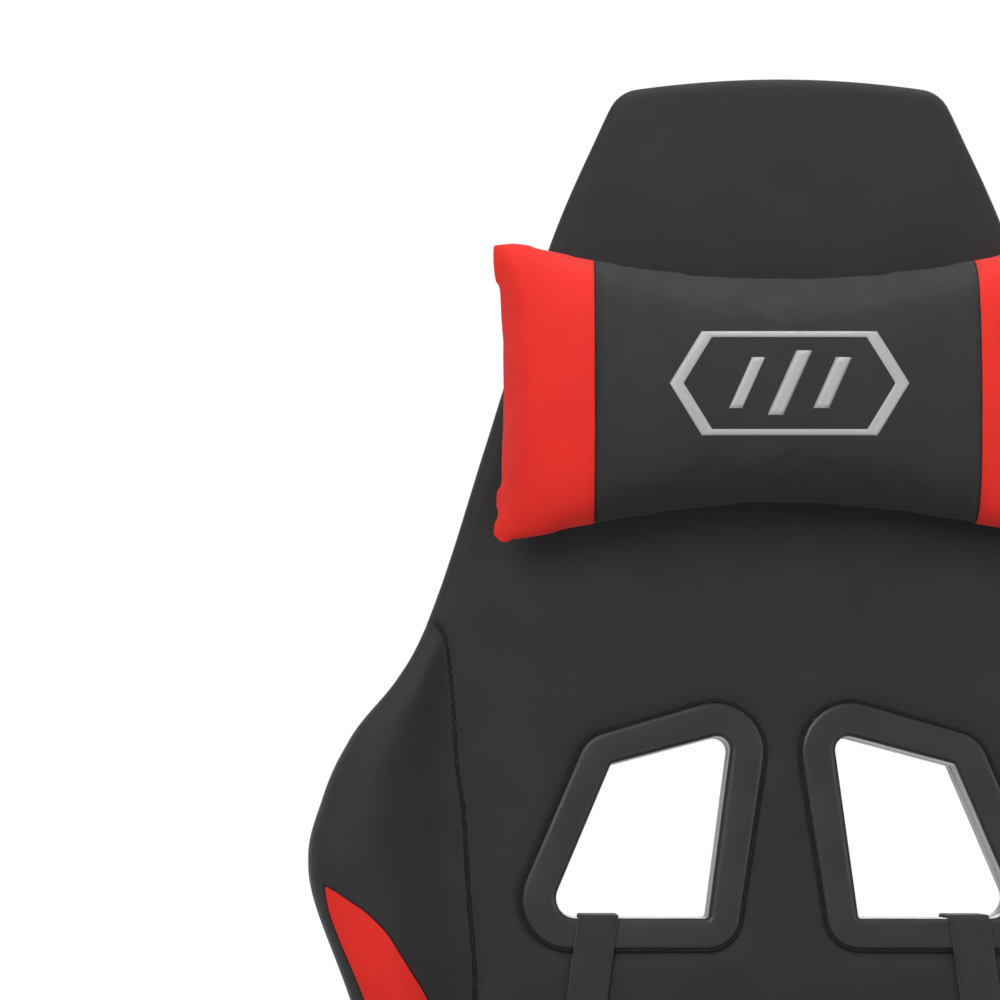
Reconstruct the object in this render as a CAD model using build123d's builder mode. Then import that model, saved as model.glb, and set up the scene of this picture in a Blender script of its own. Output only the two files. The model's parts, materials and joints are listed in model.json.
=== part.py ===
from build123d import *
import os
from math import cos, pi, radians, sin

# Gaming chair, in millimetres. +Z is up, the sitter faces -Y, and the origin is on the
# floor under the gas column. The seat is at its lowest height and the back is upright.

# ---------------------------------------------------------------- overall
PIVOT_Y, PIVOT_Z = 245, 440  # recline axis, parallel to X
LEAN = 6  # degrees that the upright back leans rearwards
GAP = 0.05  # running clearance round pins and shafts
SHEET = 3  # pressed steel

# The back's leaning planes: seen from the front (x across, y up the back, z forward),
# from the sitter's right (x forward, y up the back), and from above (x across, y rearward).
UP = Vector(0, sin(radians(LEAN)), cos(radians(LEAN)))
FORWARD = Vector(0, -cos(radians(LEAN)), sin(radians(LEAN)))
PIVOT = (0, PIVOT_Y, PIVOT_Z)
BACK = Plane(origin=PIVOT, x_dir=(1, 0, 0), z_dir=FORWARD)
BACK_SIDE = Plane(origin=PIVOT, x_dir=FORWARD, z_dir=(-1, 0, 0))
BACK_ACROSS = Plane(origin=PIVOT, x_dir=(1, 0, 0), z_dir=UP)

# ---------------------------------------------------------------- five-star base
LEGS = 5
LEG_PITCH = 360 / LEGS
FRONT_LEG_ANGLE = -90
CASTER_CIRCLE_R = 310
HUB_R = 38
HUB_BOTTOM, HUB_TOP = 78, 150
LEG_SECTIONS = ((8, 60, 84, 146), (150, 46, 78, 126), (300, 35, 71, 98))  # x, width, bottom, top
LEG_CORNER = 11
LEG_WALL = 4.5
HOLLOW_START, HOLLOW_END = 46, 288  # the channel under each leg
RIBS = (95, 150, 205, 260)
SPINES = (-7, 7)  # ribs along each leg's channel
BOSS_R = 18
BOSS_BOTTOM, BOSS_TOP = 71, 99
STEM_R = 5.5
STEM_BOTTOM, STEM_TOP = 61, 94

# ---------------------------------------------------------------- casters
CASTER_HEADINGS = (20, 112, 171, 248, 327)  # way that each caster trails, in degrees
WHEEL_R = 30
WHEEL_WIDTH = 18
WHEEL_INNER = 4  # inner face of each wheel from the caster's middle
WHEEL_EDGE = 4
TRAIL = 20
AXLE_R = 4
AXLE_HALF = 18
WEB_HALF = 3.5
FENDER_INNER, FENDER_OUTER = 32.5, 35.5
HOOD_HALF = 23
HOOD_SKIRT_Z, HOOD_TOP = 26, 70
HOOD_BOSS_R = 13
HUB_RECESS_R, HUB_RECESS = 19, 3

# ---------------------------------------------------------------- gas lift and its covers
COLUMN_R, COLUMN_LOWER_R, COLUMN_INNER_R = 25, 24, 22.4
COLUMN_BOTTOM, COLUMN_FLOOR, COLUMN_TOP = 52, 56, 226
BUSHING_BOTTOM, BUSHING_LIP = 150, 3
ROD_R = 5
ROD_BOTTOM = 48
CLIP_R, CLIP_TOP = 9, 51.5
COLLAR_R, COLLAR_TOP = 10, 68
PISTON_BOTTOM, PISTON_TOP = 178, 188
CYLINDER_R, CYLINDER_INNER_R, CYLINDER_TIP_R = 14, 12.5, 13
CYLINDER_BOTTOM, CYLINDER_FLOOR, CYLINDER_ROOF = 70, 82, 250
TAPER_BOTTOM, CYLINDER_TOP = 258, 295
VALVE_R = 3
VALVE_WELL, VALVE_BOTTOM, VALVE_TOP = 266, 271, 299
WASHER_R, WASHER_BORE, WASHER_T = 12, 5.4, 1.2
BALL_R = 1.8
BALLS = 8
COVER_WALL, COVER_LIP = 1.5, 2
LOWER_COVER = (30, HUB_TOP, 208, 25.3)  # inner radius, bottom, top, bore of the lip
MIDDLE_COVER = (33, 155, 214, 26)
UPPER_COVER = (36, 160, TAPER_BOTTOM, CYLINDER_R)

# ---------------------------------------------------------------- tilt mechanism
HOUSING_X = 55  # inside faces of the side walls
HOUSING_Y0, HOUSING_Y1 = -122, 50
HOUSING_Z = 262
HOUSING_TOP, HOUSING_REAR_TOP = 331, 308
SHOULDER_Y = -100  # the side walls slope down from here to the rear
SOCKET_R = 19
TILT_Y, TILT_Z = -105, 322
TILT_PIN_R, TILT_PIN_HEAD_R, TILT_PIN_PLAY = 5, 8, 0.5
PLATE_Z, PLATE_T = 334, 4
PLATE_X = 118
PLATE_Y0, PLATE_Y1 = -130, 82
PLATE_CORNER = 14
WINDOW = 68
WINDOW_CORNER = 6
FLANGE_X = HOUSING_X + SHEET + 1
FLANGE_HALF = 17
BOLT_R, BOLT_HEAD_R, BOLT_HEAD = 4, 6.5, 5
PLATE_BOLT_X, PLATE_BOLT_Y = 100, (-90, 60)
KNOB_Y, KNOB_R = -68, 21
KNOB_BOTTOM, KNOB_TOP, SCREW_TOP = 228, 261, 300
KNOB_FLUTES, FLUTE_R, KNOB_EDGE = 12, 3, 1.2
SCREW_R = 4
COIL_R, WIRE_R, COIL_PITCH, COIL_PLAY = 12.5, 1.6, 9.5, 0.5
LEVER_Z, LEVER_DROP_Z = 304.5, 286
LEVER_R, LEVER_BEND = 4.5, 30
LEVER_X = (16, -76, -120, -222)  # inner end, two bends, outer end
SLIDER_R, SLIDER_BORE = 8.5, 6
SLIDER_X0, SLIDER_X1 = -66, -40
ROCKER_X, ROCKER_R, ROCKER_HALF = -56, 1.5, 7.5  # the lever's cross pin in its sleeve
GRIP_X0, GRIP_X1 = -205, -292
GRIP_WIDTH, GRIP_T, GRIP_EDGE = 26, 13, 4

# ---------------------------------------------------------------- seat
TUBE_R, TUBE_WALL = 11, 1.5
FRAME_X, FRAME_Z = 195, 351
FRAME_Y0, FRAME_Y1 = -225, 193
FRAME_CORNER = 32
BAR_DEPTH, BAR_TOP = 30, 344
WEBBING_Z, WEBBING_T, WEBBING_WIDTH = 362, 2, 44
WEBBING_Y = (-180, -110, -40, 30, 100, 160)
WEBBING_X = (-130, -65, 0, 65, 130)
SIDE_BOLTS_Y = (0, 30, 142, 160)  # through the armrest feet and the recliner feet
BOLT_TOP = 346
SKIRT_Z, CUSHION_Z = 346, 364
SEAT_Z, BOLSTER_Z = 440, 484
SEAT_FRONT, SEAT_REAR = -285, 205
SEAT_FRONT_X, SEAT_MIDDLE_X, SEAT_REAR_X = 228, 257, 226
SEAT_MIDDLE_Y0, SEAT_MIDDLE_Y1, SEAT_WAIST_Y = -110, 60, 125
SEAT_RADII = (60, 140, 90, 20)
CHANNEL_X, CHANNEL_TOP_X = 165, 195  # half the sitting area's width, at its floor and its top
POCKET_X, POCKET_Y = 208, -238

# ---------------------------------------------------------------- recliner
RECLINER_X, RECLINER_T = 232.3, 5
RECLINER_R = 30
FOOT_Z, FOOT_T = PLATE_Z, 6
FOOT_Y0, FOOT_Y1, FOOT_X = 132, 190, 184
PIN_R, PIN_HEAD_R, PIN_X0, PIN_X1 = 8, 12, 224.5, 241
BACK_PLATE_X, BACK_PLATE_T, BACK_PLATE_R = 226.5, 5, 24
BACK_PLATE_TOP = 150
SPACER_W, SPACER_R, SPACER_X = (60, 130), 10, 214
SPIRAL_X, SPIRAL_T = 243, 8
SPIRAL_R0, SPIRAL_PITCH, SPIRAL_TURNS, SPIRAL_WIRE = 10, 4.6, 3.5, 2
COVER_OUTLINE = ((165, 347), (246, 347), (296, 425), (284, 492), (212, 492), (168, 405))  # y, z
COVER_RADII = (16, 40, 40, 34, 46, 60)
COVER_X0, COVER_X1, COVER_T = 237.3, 262, 2.5
COVER_EDGE = 5
HANDLE_SHAFT_R, HANDLE_X0, HANDLE_X1, HANDLE_X2 = 6, 241.5, 262.6, 270
HANDLE_HUB_R = 15
HANDLE_Y, HANDLE_Z, HANDLE_WIDTH, HANDLE_EDGE = 120, 452, 18, 2

# ---------------------------------------------------------------- armrests
SLEEVE_X, SLEEVE_Y = 291, 15
SLEEVE_SIZE, SLEEVE_BORE, SLEEVE_CORNER = (26, 56), (20.6, 50.6), 5
POST_SIZE = (20, 50)
SLEEVE_TOP = 560
ARM_FOOT_X, ARM_FOOT_CORNER = 184, 4
POST_BOTTOM, POST_TOP = 420, 632
POST_PLATE = (56, 130, 4)
SLOT_DEPTH, SLOT_WIDTH, SLOT_Z0, SLOT_Z1 = 8, 13, 465, 555
BUTTON_Z, BUTTON_R, BUTTON_CAP_R, BUTTON_CAP, BUTTON_EDGE = 540, 5, 9, 3.5, 1
BUTTON_X0, BUTTON_X1 = 297, 307.5
PAD_X, PAD_Y, PAD_SIZE, PAD_T = 300, 20, (85, 260), 28
PAD_CORNER, PAD_EDGE = 34, 9

# ---------------------------------------------------------------- back
BACK_TOP = 815  # length of the back above the recline axis
SLAB = 30  # half the slab's thickness
BACK_FOOT_X = 224
CROWN_X, CROWN_W = 90, 806  # where the crowned top edge meets its corner
CROWN_DIP = 2.3  # how far the crown has fallen halfway to that corner
CORNER_X, CORNER_W = 108, 791
HEAD_SIDE = ((139, 715), (178, 593), (206.3, 503))
KINK = (228.5, 452)  # where the shoulder meets the side wing
WING_SIDE = ((258.6, 412), (283.2, 331), (258.5, 258.8))
WING_END_W, WING_TUCK = 160, 10  # the wings run on a little inside the back's foot
WING_TANGENTS = ((0.5, -0.85), (0, -1))
SEAM = ((209.8, 484), (202.5, 470), (192, 368), (186, 266), (200, 175))  # inner edge of a wing
WING_PROUD = 46
FRAME_PATH = ((200, 20), (200, 430), (95, 778))
FRAME_BENDS = (90, 60)
OPENING = ((30.2, 417.5), (45.2, 305.8), (142.4, 305.8), (103.3, 398))  # harness slot, inner corners
OPENING_RADII = (8, 2, 12, 2)
BEZEL = ((4.2, 447.5), (28.7, 287), (172.9, 287), (118, 414))
BEZEL_RADII = (30, 20, 30, 22)
BEZEL_T, LINER_T = 2.5, 2
STRAP_WIDTH, STRAP_T = 24, 1.5
STRAP_U, STRAP_INSIDE, STRAP_SEAT_W, STRAP_CORNER = 111, 33, 306.2, 0.8

# ---------------------------------------------------------------- loose cushions
PILLOW_W = 619.5  # middle of the head pillow, up the back
PILLOW_END_X, PILLOW_MID_X = 174, 166
PILLOW_END_H, PILLOW_MID_H = 88.5, 67
PILLOW_BACK, PILLOW_T, PILLOW_EDGE = 32.6, 80, 16
HEAD_STRAP_W = (637.5, 687.5)
HEAD_STRAP_HALF = (164.9, 149.2)  # half the ring's inside width at those two heights
HEAD_STRAP_INSIDE, HEAD_STRAP_T, HEAD_STRAP_CORNER = 30.4, 1.6, 0.5
LUMBAR_W, LUMBAR_SIZE = 145, (330, 180)
LUMBAR_BACK, LUMBAR_T, LUMBAR_CORNER, LUMBAR_EDGE = 35, 78, 45, 18


# ---------------------------------------------------------------- helpers
def write(piece, label):
    """Labels one finished piece and writes its STEP file."""
    piece.label = label
    export_step(piece, f"parts/{label}.step")


def turned(*points):
    """A solid of revolution about Z from (radius, height) points."""
    with BuildPart() as piece:
        with BuildSketch(Plane.XZ):
            with BuildLine():
                Polyline(*points, close=True)
            make_face()
        revolve(axis=Axis.Z)
    return piece.part


def cross_tube(points, bends, plane, wall):
    """A round frame tube along straight runs joined by arcs, on a plane."""
    with BuildLine(plane) as run:
        FilletPolyline(*points, radius=bends)
    path = run.wire()
    with BuildPart() as tube:
        with BuildSketch(Plane(path @ 0, z_dir=path % 0)):
            Circle(TUBE_R)
            if wall:
                Circle(TUBE_R - wall, mode=Mode.SUBTRACT)
        sweep(path=path)
    return tube.part


def both_sides(piece):
    """The piece and its mirror image as two solids."""
    with BuildPart() as pair:
        add(piece)
        mirror(about=Plane.YZ)
    return pair.part


# ---------------------------------------------------------------- base and casters
def leg_size(x):
    """Width, bottom and top of a leg at a distance from the centre."""
    (x0, *near), (x1, *far) = LEG_SECTIONS[:2] if x < LEG_SECTIONS[1][0] else LEG_SECTIONS[1:]
    share = (x - x0) / (x1 - x0)
    return [a + (b - a) * share for a, b in zip(near, far)]


def make_star_base():
    up = (Align.CENTER, Align.CENTER, Align.MIN)
    with BuildPart() as leg:
        for x, width, bottom, top in LEG_SECTIONS:
            with BuildSketch(Plane.YZ.offset(x)):
                with Locations((0, (bottom + top) / 2)):
                    RectangleRounded(width, top - bottom, LEG_CORNER)
        loft()
        for x in (HOLLOW_START, LEG_SECTIONS[1][0], HOLLOW_END):
            width, bottom, top = leg_size(x)
            with BuildSketch(Plane.YZ.offset(x)):
                with Locations((0, (bottom + top) / 2 - LEG_WALL)):
                    Rectangle(width - 2 * LEG_WALL, top - bottom)
        loft(mode=Mode.SUBTRACT)
        for x in RIBS:
            width, bottom, top = leg_size(x)
            with Locations((x, 0, (bottom + top) / 2)):
                Box(SHEET, width - LEG_WALL, top - bottom - LEG_WALL)
        ends = [(x, *leg_size(x)[1:]) for x in (HOLLOW_START, LEG_SECTIONS[1][0], HOLLOW_END)]
        for y in SPINES:
            with BuildSketch(Plane.XZ.offset(y)):
                with BuildLine():
                    Polyline(*[(x, bottom + LEG_WALL / 2) for x, bottom, top in ends],
                             *[(x, top - LEG_WALL / 2) for x, bottom, top in reversed(ends)],
                             close=True)
                make_face()
            extrude(amount=SHEET / 2, both=True)
        with Locations((CASTER_CIRCLE_R, 0, BOSS_BOTTOM)):
            Cylinder(BOSS_R, BOSS_TOP - BOSS_BOTTOM, align=up)
    with BuildPart() as base:
        with Locations((0, 0, HUB_BOTTOM)):
            Cylinder(HUB_R, HUB_TOP - HUB_BOTTOM, align=up)
        for number in range(LEGS):
            add(leg.part, rotation=(0, 0, FRONT_LEG_ANGLE + number * LEG_PITCH))
        with BuildSketch(Plane.XY.offset(BOSS_BOTTOM)):
            with PolarLocations(CASTER_CIRCLE_R, LEGS, start_angle=FRONT_LEG_ANGLE):
                Circle(STEM_R + GAP)
        extrude(amount=STEM_TOP + 1 - BOSS_BOTTOM, mode=Mode.SUBTRACT)
        with Locations((0, 0, HUB_BOTTOM)):
            Cone(COLUMN_LOWER_R, COLUMN_R, HUB_TOP - HUB_BOTTOM, align=up, mode=Mode.SUBTRACT)
    return base.part


def axle_disc(radius, x):
    """A disc about the caster's axle, drawn on the plane at x."""
    with BuildSketch(Plane.YZ.offset(x)) as disc:
        with Locations((TRAIL, WHEEL_R)):
            Circle(radius)
    return disc.sketch


def make_caster_hood():
    up = (Align.CENTER, Align.CENTER, Align.MIN)
    with BuildPart() as hood:
        extrude(axle_disc(FENDER_OUTER, 0), amount=HOOD_HALF, both=True)
        split(bisect_by=Plane.XY.offset(HOOD_SKIRT_Z), keep=Keep.TOP)
        with Locations((0, 0, WHEEL_R)):
            Cylinder(HOOD_BOSS_R, HOOD_TOP - WHEEL_R, align=up)
        for side in (1, -1):
            pocket = axle_disc(FENDER_INNER, side * WEB_HALF)
            extrude(pocket, amount=side * 2 * HOOD_HALF, dir=(1, 0, 0), mode=Mode.SUBTRACT)
        extrude(axle_disc(3 * AXLE_R, 0), amount=WEB_HALF, both=True)
        extrude(axle_disc(AXLE_R, 0), amount=HOOD_HALF, both=True, mode=Mode.SUBTRACT)
        with Locations((0, 0, STEM_BOTTOM)):
            Cylinder(STEM_R, HOOD_TOP, align=up, mode=Mode.SUBTRACT)
    return hood.part


def make_caster_pins():
    """The steel stem and the axle, as two solids."""
    with BuildPart() as pins:
        with BuildSketch(Plane.XY.offset(STEM_BOTTOM)):
            Circle(STEM_R)
        extrude(amount=STEM_TOP - STEM_BOTTOM)
        extrude(axle_disc(AXLE_R, 0), amount=AXLE_HALF, both=True)
    return pins.part


def make_caster_wheels():
    """A pair of wheels on one axle."""
    outer = WHEEL_INNER + WHEEL_WIDTH
    with BuildPart() as wheel:
        extrude(axle_disc(WHEEL_R, WHEEL_INNER), amount=WHEEL_WIDTH, dir=(1, 0, 0))
        fillet(wheel.edges().filter_by(GeomType.CIRCLE), WHEEL_EDGE)
        recess = axle_disc(HUB_RECESS_R, outer)
        extrude(recess, amount=HUB_RECESS, dir=(-1, 0, 0), mode=Mode.SUBTRACT)
        extrude(axle_disc(AXLE_R + GAP, 0), amount=outer, dir=(1, 0, 0), mode=Mode.SUBTRACT)
    return both_sides(wheel.part)


def caster_place(number):
    """Where a caster stands: under its leg's end, trailing its own way."""
    angle = radians(FRONT_LEG_ANGLE + number * LEG_PITCH)
    spot = (CASTER_CIRCLE_R * cos(angle), CASTER_CIRCLE_R * sin(angle), 0)
    return Location(spot, (0, 0, CASTER_HEADINGS[number] - 90))


# ---------------------------------------------------------------- gas lift
def make_column_tube():
    return turned(
        (ROD_R + GAP, COLUMN_BOTTOM),
        (COLUMN_LOWER_R, COLUMN_BOTTOM),
        (COLUMN_LOWER_R, HUB_BOTTOM),
        (COLUMN_R, HUB_TOP),
        (COLUMN_R, COLUMN_TOP),
        (COLUMN_INNER_R, COLUMN_TOP),
        (COLUMN_INNER_R, COLUMN_FLOOR),
        (ROD_R + GAP, COLUMN_FLOOR),
    )


def make_column_bushing():
    return turned(
        (CYLINDER_R + GAP, BUSHING_BOTTOM),
        (COLUMN_INNER_R, BUSHING_BOTTOM),
        (COLUMN_INNER_R, COLUMN_TOP),
        (COLUMN_LOWER_R, COLUMN_TOP),
        (COLUMN_LOWER_R, COLUMN_TOP + BUSHING_LIP),
        (CYLINDER_R + GAP, COLUMN_TOP + BUSHING_LIP),
    )


def make_piston_rod():
    """The rod that hangs in the column, with its clip, its thrust collar and its piston."""
    bearing_top = COLUMN_FLOOR + 2 * WASHER_T + 2 * BALL_R
    piston_r = CYLINDER_INNER_R - 2 * GAP
    return turned(
        (0, ROD_BOTTOM),
        (CLIP_R, ROD_BOTTOM),
        (CLIP_R, CLIP_TOP),
        (ROD_R, CLIP_TOP),
        (ROD_R, bearing_top),
        (COLLAR_R, bearing_top),
        (COLLAR_R, COLLAR_TOP),
        (ROD_R, COLLAR_TOP),
        (ROD_R, PISTON_BOTTOM),
        (piston_r, PISTON_BOTTOM),
        (piston_r, PISTON_TOP),
        (0, PISTON_TOP),
    )


def make_thrust_bearing():
    """Two washers and a ring of balls between them."""
    with BuildPart() as bearing:
        for bottom in (COLUMN_FLOOR, COLUMN_FLOOR + WASHER_T + 2 * BALL_R):
            with BuildSketch(Plane.XY.offset(bottom)):
                Circle(WASHER_R)
                Circle(WASHER_BORE, mode=Mode.SUBTRACT)
            extrude(amount=WASHER_T)
        with Locations((0, 0, COLUMN_FLOOR + WASHER_T + BALL_R)):
            with PolarLocations((WASHER_R + WASHER_BORE) / 2, BALLS):
                Sphere(BALL_R - GAP / 2)
    return bearing.part


def taper_plug():
    """The cylinder's tapered upper end, which wedges in the mechanism's socket."""
    return turned(
        (0, TAPER_BOTTOM),
        (CYLINDER_R, TAPER_BOTTOM),
        (CYLINDER_TIP_R, CYLINDER_TOP),
        (0, CYLINDER_TOP),
    )


def make_gas_cylinder():
    bores = (
        (CYLINDER_BOTTOM, CYLINDER_FLOOR, ROD_R + GAP),
        (CYLINDER_FLOOR, CYLINDER_ROOF, CYLINDER_INNER_R),
        (VALVE_WELL, CYLINDER_TOP, VALVE_R + GAP),
    )
    with BuildPart() as cylinder:
        with BuildSketch(Plane.XY.offset(CYLINDER_BOTTOM)):
            Circle(CYLINDER_R)
        extrude(amount=TAPER_BOTTOM - CYLINDER_BOTTOM)
        add(taper_plug())
        for bottom, top, radius in bores:
            with BuildSketch(Plane.XY.offset(bottom)):
                Circle(radius)
            extrude(amount=top - bottom, mode=Mode.SUBTRACT)
    return cylinder.part


def make_valve_pin():
    return turned((0, VALVE_BOTTOM), (VALVE_R, VALVE_BOTTOM), (VALVE_R, VALVE_TOP), (0, VALVE_TOP))


def make_dust_cover(inner, bottom, top, bore):
    """One telescoping sleeve with a lip at its top."""
    return turned(
        (inner, bottom),
        (inner + COVER_WALL, bottom),
        (inner + COVER_WALL, top),
        (bore, top),
        (bore, top - COVER_LIP),
        (inner, top - COVER_LIP),
    )


# ---------------------------------------------------------------- tilt mechanism
def make_mechanism_housing():
    """An open steel tray with the gas cylinder's socket in its floor."""
    outside = HOUSING_X + SHEET
    with BuildPart() as housing:
        with BuildSketch(Plane.YZ.offset(-outside)):
            with BuildLine():
                Polyline(
                    (HOUSING_Y0, HOUSING_Z),
                    (HOUSING_Y1, HOUSING_Z),
                    (HOUSING_Y1, HOUSING_REAR_TOP),
                    (SHOULDER_Y, HOUSING_TOP),
                    (HOUSING_Y0, HOUSING_TOP),
                    close=True,
                )
            make_face()
        extrude(amount=2 * outside)
        with BuildSketch(Plane.XY.offset(HOUSING_Z + SHEET)):
            with Locations((0, (HOUSING_Y0 + HOUSING_Y1) / 2)):
                Rectangle(2 * HOUSING_X, HOUSING_Y1 - HOUSING_Y0 - 2 * SHEET)
        extrude(amount=HOUSING_TOP - HOUSING_Z, mode=Mode.SUBTRACT)
        with BuildSketch(Plane.XY.offset(HOUSING_Z)):
            Circle(SOCKET_R)
        extrude(amount=CYLINDER_TOP - HOUSING_Z)
        add(taper_plug(), mode=Mode.SUBTRACT)
        with BuildSketch(Plane.XY.offset(HOUSING_Z)):
            with Locations((0, KNOB_Y)):
                Circle(SCREW_R + GAP)
        extrude(amount=SHEET, mode=Mode.SUBTRACT)
        with BuildSketch(Plane.YZ.offset(-outside)):
            with Locations((TILT_Y, TILT_Z)):
                Circle(TILT_PIN_R)
        extrude(amount=2 * outside, mode=Mode.SUBTRACT)
        with BuildSketch(Plane.YZ.offset(-outside)):
            with Locations((0, LEVER_Z)):
                Circle(SLIDER_R)
        extrude(amount=SHEET, mode=Mode.SUBTRACT)
    return housing.part


def make_tilt_plate():
    """The plate under the seat, with two flanges that hang on the tilt pin."""
    with BuildPart() as plate:
        with BuildSketch(Plane.XY.offset(PLATE_Z)):
            with Locations((0, (PLATE_Y0 + PLATE_Y1) / 2)):
                RectangleRounded(2 * PLATE_X, PLATE_Y1 - PLATE_Y0, PLATE_CORNER)
            RectangleRounded(WINDOW, WINDOW, WINDOW_CORNER, mode=Mode.SUBTRACT)
            for y in PLATE_BOLT_Y:
                with Locations((PLATE_BOLT_X, y), (-PLATE_BOLT_X, y)):
                    Circle(BOLT_R, mode=Mode.SUBTRACT)
        extrude(amount=PLATE_T)
        for x in (FLANGE_X, -FLANGE_X - SHEET):
            with BuildSketch(Plane.YZ.offset(x)):
                with Locations((TILT_Y, (TILT_Z - FLANGE_HALF + PLATE_Z) / 2)):
                    Rectangle(2 * FLANGE_HALF, PLATE_Z - TILT_Z + FLANGE_HALF)
                with Locations((TILT_Y, TILT_Z)):
                    Circle(TILT_PIN_R + GAP, mode=Mode.SUBTRACT)
            extrude(amount=SHEET)
    return plate.part


def make_tilt_pin():
    """The pivot pin with a head at each end."""
    reach = FLANGE_X + SHEET + TILT_PIN_PLAY
    with BuildPart() as pin:
        with BuildSketch(Plane.YZ.offset(-reach - SHEET)):
            with Locations((TILT_Y, TILT_Z)):
                Circle(TILT_PIN_R)
        extrude(amount=2 * (reach + SHEET))
        for x in (reach, -reach - SHEET):
            with BuildSketch(Plane.YZ.offset(x)):
                with Locations((TILT_Y, TILT_Z)):
                    Circle(TILT_PIN_HEAD_R)
            extrude(amount=SHEET)
    return pin.part


def make_tilt_spring():
    """A round-wire coil spring round the tension screw."""
    bottom = HOUSING_Z + SHEET + WIRE_R + COIL_PLAY
    top = PLATE_Z - WIRE_R - COIL_PLAY
    path = Pos(0, KNOB_Y, bottom) * Helix(pitch=COIL_PITCH, height=top - bottom, radius=COIL_R)
    with BuildPart() as spring:
        with BuildSketch(Plane(path @ 0, z_dir=path % 0)):
            Circle(WIRE_R)
        sweep(path=path, is_frenet=True)
    return spring.part


def make_tension_knob():
    """A fluted knob on the spring's tension screw."""
    with BuildPart() as knob:
        with BuildSketch(Plane.XY.offset(KNOB_BOTTOM)):
            with Locations((0, KNOB_Y)):
                Circle(KNOB_R)
                with PolarLocations(KNOB_R + 1, KNOB_FLUTES):
                    Circle(FLUTE_R, mode=Mode.SUBTRACT)
        extrude(amount=KNOB_TOP - KNOB_BOTTOM)
        chamfer(knob.faces().sort_by(Axis.Z)[0].edges(), KNOB_EDGE)
        with BuildSketch(Plane.XY.offset(KNOB_TOP)):
            with Locations((0, KNOB_Y)):
                Circle(SCREW_R)
        extrude(amount=SCREW_TOP - KNOB_TOP)
    return knob.part


def rocker_pin(radius):
    """The section of the cross pin that the lever rocks on."""
    with BuildSketch(Plane.XZ) as section:
        with Locations((ROCKER_X, LEVER_Z)):
            Circle(radius)
    return section.sketch


def make_height_lever():
    """A bent steel rod, from over the valve pin out past the seat's side, on a cross pin."""
    heights = (LEVER_Z, LEVER_Z, LEVER_DROP_Z, LEVER_DROP_Z)
    with BuildLine(Plane.XZ) as run:
        FilletPolyline(*zip(LEVER_X, heights), radius=LEVER_BEND)
    path = run.wire()
    with BuildPart() as lever:
        with BuildSketch(Plane(path @ 0, z_dir=path % 0)):
            Circle(LEVER_R)
        sweep(path=path)
        extrude(rocker_pin(ROCKER_R), amount=ROCKER_HALF, both=True)
    return lever.part


def make_lever_grip():
    with BuildPart() as grip:
        with BuildSketch(Plane.XY.offset(LEVER_DROP_Z - GRIP_T / 2)):
            with Locations(((GRIP_X0 + GRIP_X1) / 2, 0)):
                SlotOverall(GRIP_X0 - GRIP_X1, GRIP_WIDTH)
        extrude(amount=GRIP_T)
        fillet(grip.faces().sort_by(Axis.Z)[-1].edges(), GRIP_EDGE)
        fillet(grip.faces().sort_by(Axis.Z)[0].edges(), GRIP_EDGE)
        with BuildSketch(Plane.YZ.offset(LEVER_X[-1])):
            with Locations((0, LEVER_DROP_Z)):
                Circle(LEVER_R)
        extrude(amount=GRIP_X0 - LEVER_X[-1], mode=Mode.SUBTRACT)
    return grip.part


def make_tilt_lock_slider():
    """The sleeve round the lever that unlocks the tilt when it is pulled out."""
    with BuildPart() as slider:
        with BuildSketch(Plane.YZ.offset(SLIDER_X0)):
            with Locations((0, LEVER_Z)):
                Circle(SLIDER_R - GAP)
                Circle(SLIDER_BORE, mode=Mode.SUBTRACT)
        extrude(amount=SLIDER_X1 - SLIDER_X0)
        extrude(rocker_pin(ROCKER_R + GAP), amount=SLIDER_R, both=True, mode=Mode.SUBTRACT)
    return slider.part


# ---------------------------------------------------------------- seat
def make_seat_frame():
    """A tube loop with two flat cross bars, drilled for its bolts."""
    corners = ((0, FRAME_Y0), (FRAME_X, FRAME_Y0), (FRAME_X, FRAME_Y1), (0, FRAME_Y1))
    half = cross_tube(corners, FRAME_CORNER, Plane.XY.offset(FRAME_Z), TUBE_WALL)
    bar_bottom = PLATE_Z + PLATE_T
    with BuildPart() as frame:
        add(half)
        mirror(about=Plane.YZ)
        with BuildSketch(Plane.XY.offset(bar_bottom)):
            for y in PLATE_BOLT_Y:
                with Locations((0, y)):
                    Rectangle(2 * FRAME_X, BAR_DEPTH)
                with Locations((PLATE_BOLT_X, y), (-PLATE_BOLT_X, y)):
                    Circle(BOLT_R, mode=Mode.SUBTRACT)
        extrude(amount=BAR_TOP - bar_bottom)
        with BuildSketch(Plane.XY.offset(bar_bottom)):
            for y in SIDE_BOLTS_Y:
                with Locations((FRAME_X, y), (-FRAME_X, y)):
                    Circle(BOLT_R)
        extrude(amount=BOLT_TOP - bar_bottom, mode=Mode.SUBTRACT)
    return frame.part


def make_seat_webbing():
    """Elastic belts stretched over the seat's frame."""
    width = 2 * (FRAME_X + TUBE_R)
    depth = FRAME_Y1 - FRAME_Y0 + 2 * TUBE_R
    with BuildPart() as webbing:
        with BuildSketch(Plane.XY.offset(WEBBING_Z)):
            for y in WEBBING_Y:
                with Locations((0, y)):
                    Rectangle(width, WEBBING_WIDTH)
            for x in WEBBING_X:
                with Locations((x, (FRAME_Y0 + FRAME_Y1) / 2)):
                    Rectangle(WEBBING_WIDTH, depth)
        extrude(amount=WEBBING_T)
    return webbing.part


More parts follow.
